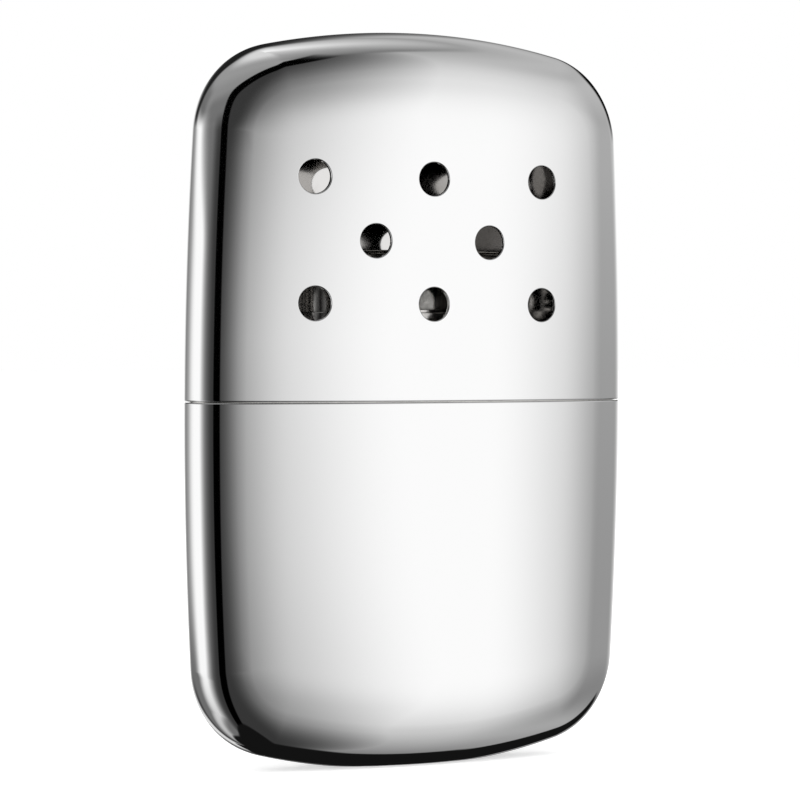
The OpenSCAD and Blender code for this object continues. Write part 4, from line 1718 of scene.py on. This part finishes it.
rear_below = abs(a).smooth(138, 176) * (-e).smooth(8, 26)
level = rear_above.math("MAXIMUM", rear_below).blend(level, REAR_LEVEL)
rear_light = abs(a).smooth(160, 176) * e.smooth(8, 26, 1, 0)
level = rear_light.blend(level, REAR_LIGHT_LEVEL)
table_top = (-(((a + 25) * (1 / 22)) ** 2)).math("EXPONENT") * 27 - 69.5
table_top = table_top + a.smooth(45, 80, 0, 14) + a.smooth(80, 106, 0, 36)
table_top = table_top - a.smooth(118, 130, 0, 12) - a.smooth(158, 172, 0, 18)
table_top = table_top + a.smooth(-178, -164, 20, 0)
level = (e - table_top).smooth(-2, 2).blend(TABLE_LEVEL, level)

# %% Which rays see what
# Display levels become light with the usual power, and the chrome's own darkness is made up for.
DISPLAY_POWER = 2.2
MIRROR_GAIN = 1.12
PLAIN_LEVEL = 0.72
WHITE = (1, 1, 1, 1)


def sky(colour, strength=1.0):
    """Light of one colour or level from all around."""
    node = new_node(tree, "Background")
    connect(tree, colour, node.inputs["Color"])
    connect(tree, strength, node.inputs["Strength"])
    return Signal(tree, node.outputs[0])


def either(share, first, second):
    """The first shader where the share is 0, the second where it is 1."""
    node = new_node(tree, "MixShader")
    for slot, value in zip(node.inputs, (share, first, second)):
        connect(tree, value, slot)
    return Signal(tree, node.outputs[0])


path = new_node(tree, "LightPath")
glossy, through, from_camera = (Signal(tree, path.outputs["Is %s Ray" % kind])
                                for kind in ("Glossy", "Transmission", "Camera"))
mirror_sky = sky(level ** DISPLAY_POWER * MIRROR_GAIN)
lit = either(glossy.math("MAXIMUM", through), sky(WHITE, PLAIN_LEVEL), mirror_sky)
seen = either(from_camera, lit, sky(WHITE))
connect(tree, seen, new_node(tree, "OutputWorld").inputs["Surface"])
print("studio nodes:", len(tree.nodes))


# %% [markdown]
# ## Floor and lamps
# The floor is plain and pale. Camera rays get a little extra light from it, so that it runs into the
# white background, while the shadow of the object stays. It isn't mirrored: the studio's dark table is.
# Four soft lamps round off the forms at a plain level, and the chrome doesn't mirror them either.

# %% Floor
FLOOR_HALF = 3.0
FLOOR_DROP = 0.05 * MM
FLOOR_TONE = (0.82, 0.82, 0.82, 1)
FLOOR_ROUGHNESS = 0.9
FLOOR_LIFT = 0.5

floor_mesh = bpy.data.meshes.new("floor")
corners = [(x * FLOOR_HALF, y * FLOOR_HALF, 0) for x, y in ((-1, -1), (1, -1), (1, 1), (-1, 1))]
floor_mesh.from_pydata(corners, [], [(0, 1, 2, 3)])
floor = in_scene("floor", floor_mesh)
floor.location.z = -FLOOR_DROP
floor.visible_glossy = False
floor_look = bpy.data.materials.new("floor")
floor_look.use_nodes = True
tree = floor_look.node_tree
lift = Signal(tree, new_node(tree, "LightPath").outputs["Is Camera Ray"]) * FLOOR_LIFT
shader = tree.nodes["Principled BSDF"]
for title, value in (("Base Color", FLOOR_TONE), ("Roughness", FLOOR_ROUGHNESS),
                     ("Emission Color", WHITE), ("Emission Strength", lift)):
    connect(tree, value, shader.inputs[title])
floor_mesh.materials.append(floor_look)
print("floor %.0f metres wide" % (2 * FLOOR_HALF))

# %% Lamps
# Each lamp's name, place and width in metres, and power in watts
LAMPS = [("lamp_front", (-0.29, -0.5, 0.11), 0.12, 1.0), ("lamp_left", (-0.45, -0.35, 0.5), 0.35, 1.6),
         ("lamp_right", (0.5, -0.45, 0.6), 0.4, 1.2), ("lamp_back", (0.1, 0.6, 0.6), 0.4, 1.4)]
AIM = Vector((0, 0, SEAM_Z))
for name, spot, size, power in LAMPS:
    lamp = in_scene(name, bpy.data.lights.new(name, "AREA"))
    lamp.data.size = size
    lamp.data.energy = power
    lamp.location = spot
    lamp.rotation_euler = (AIM - Vector(spot)).to_track_quat("-Z", "Y").to_euler()
    lamp.visible_glossy = False
    print(name, "%.1f W" % power)
bpy.context.scene.view_settings.view_transform = "Standard"
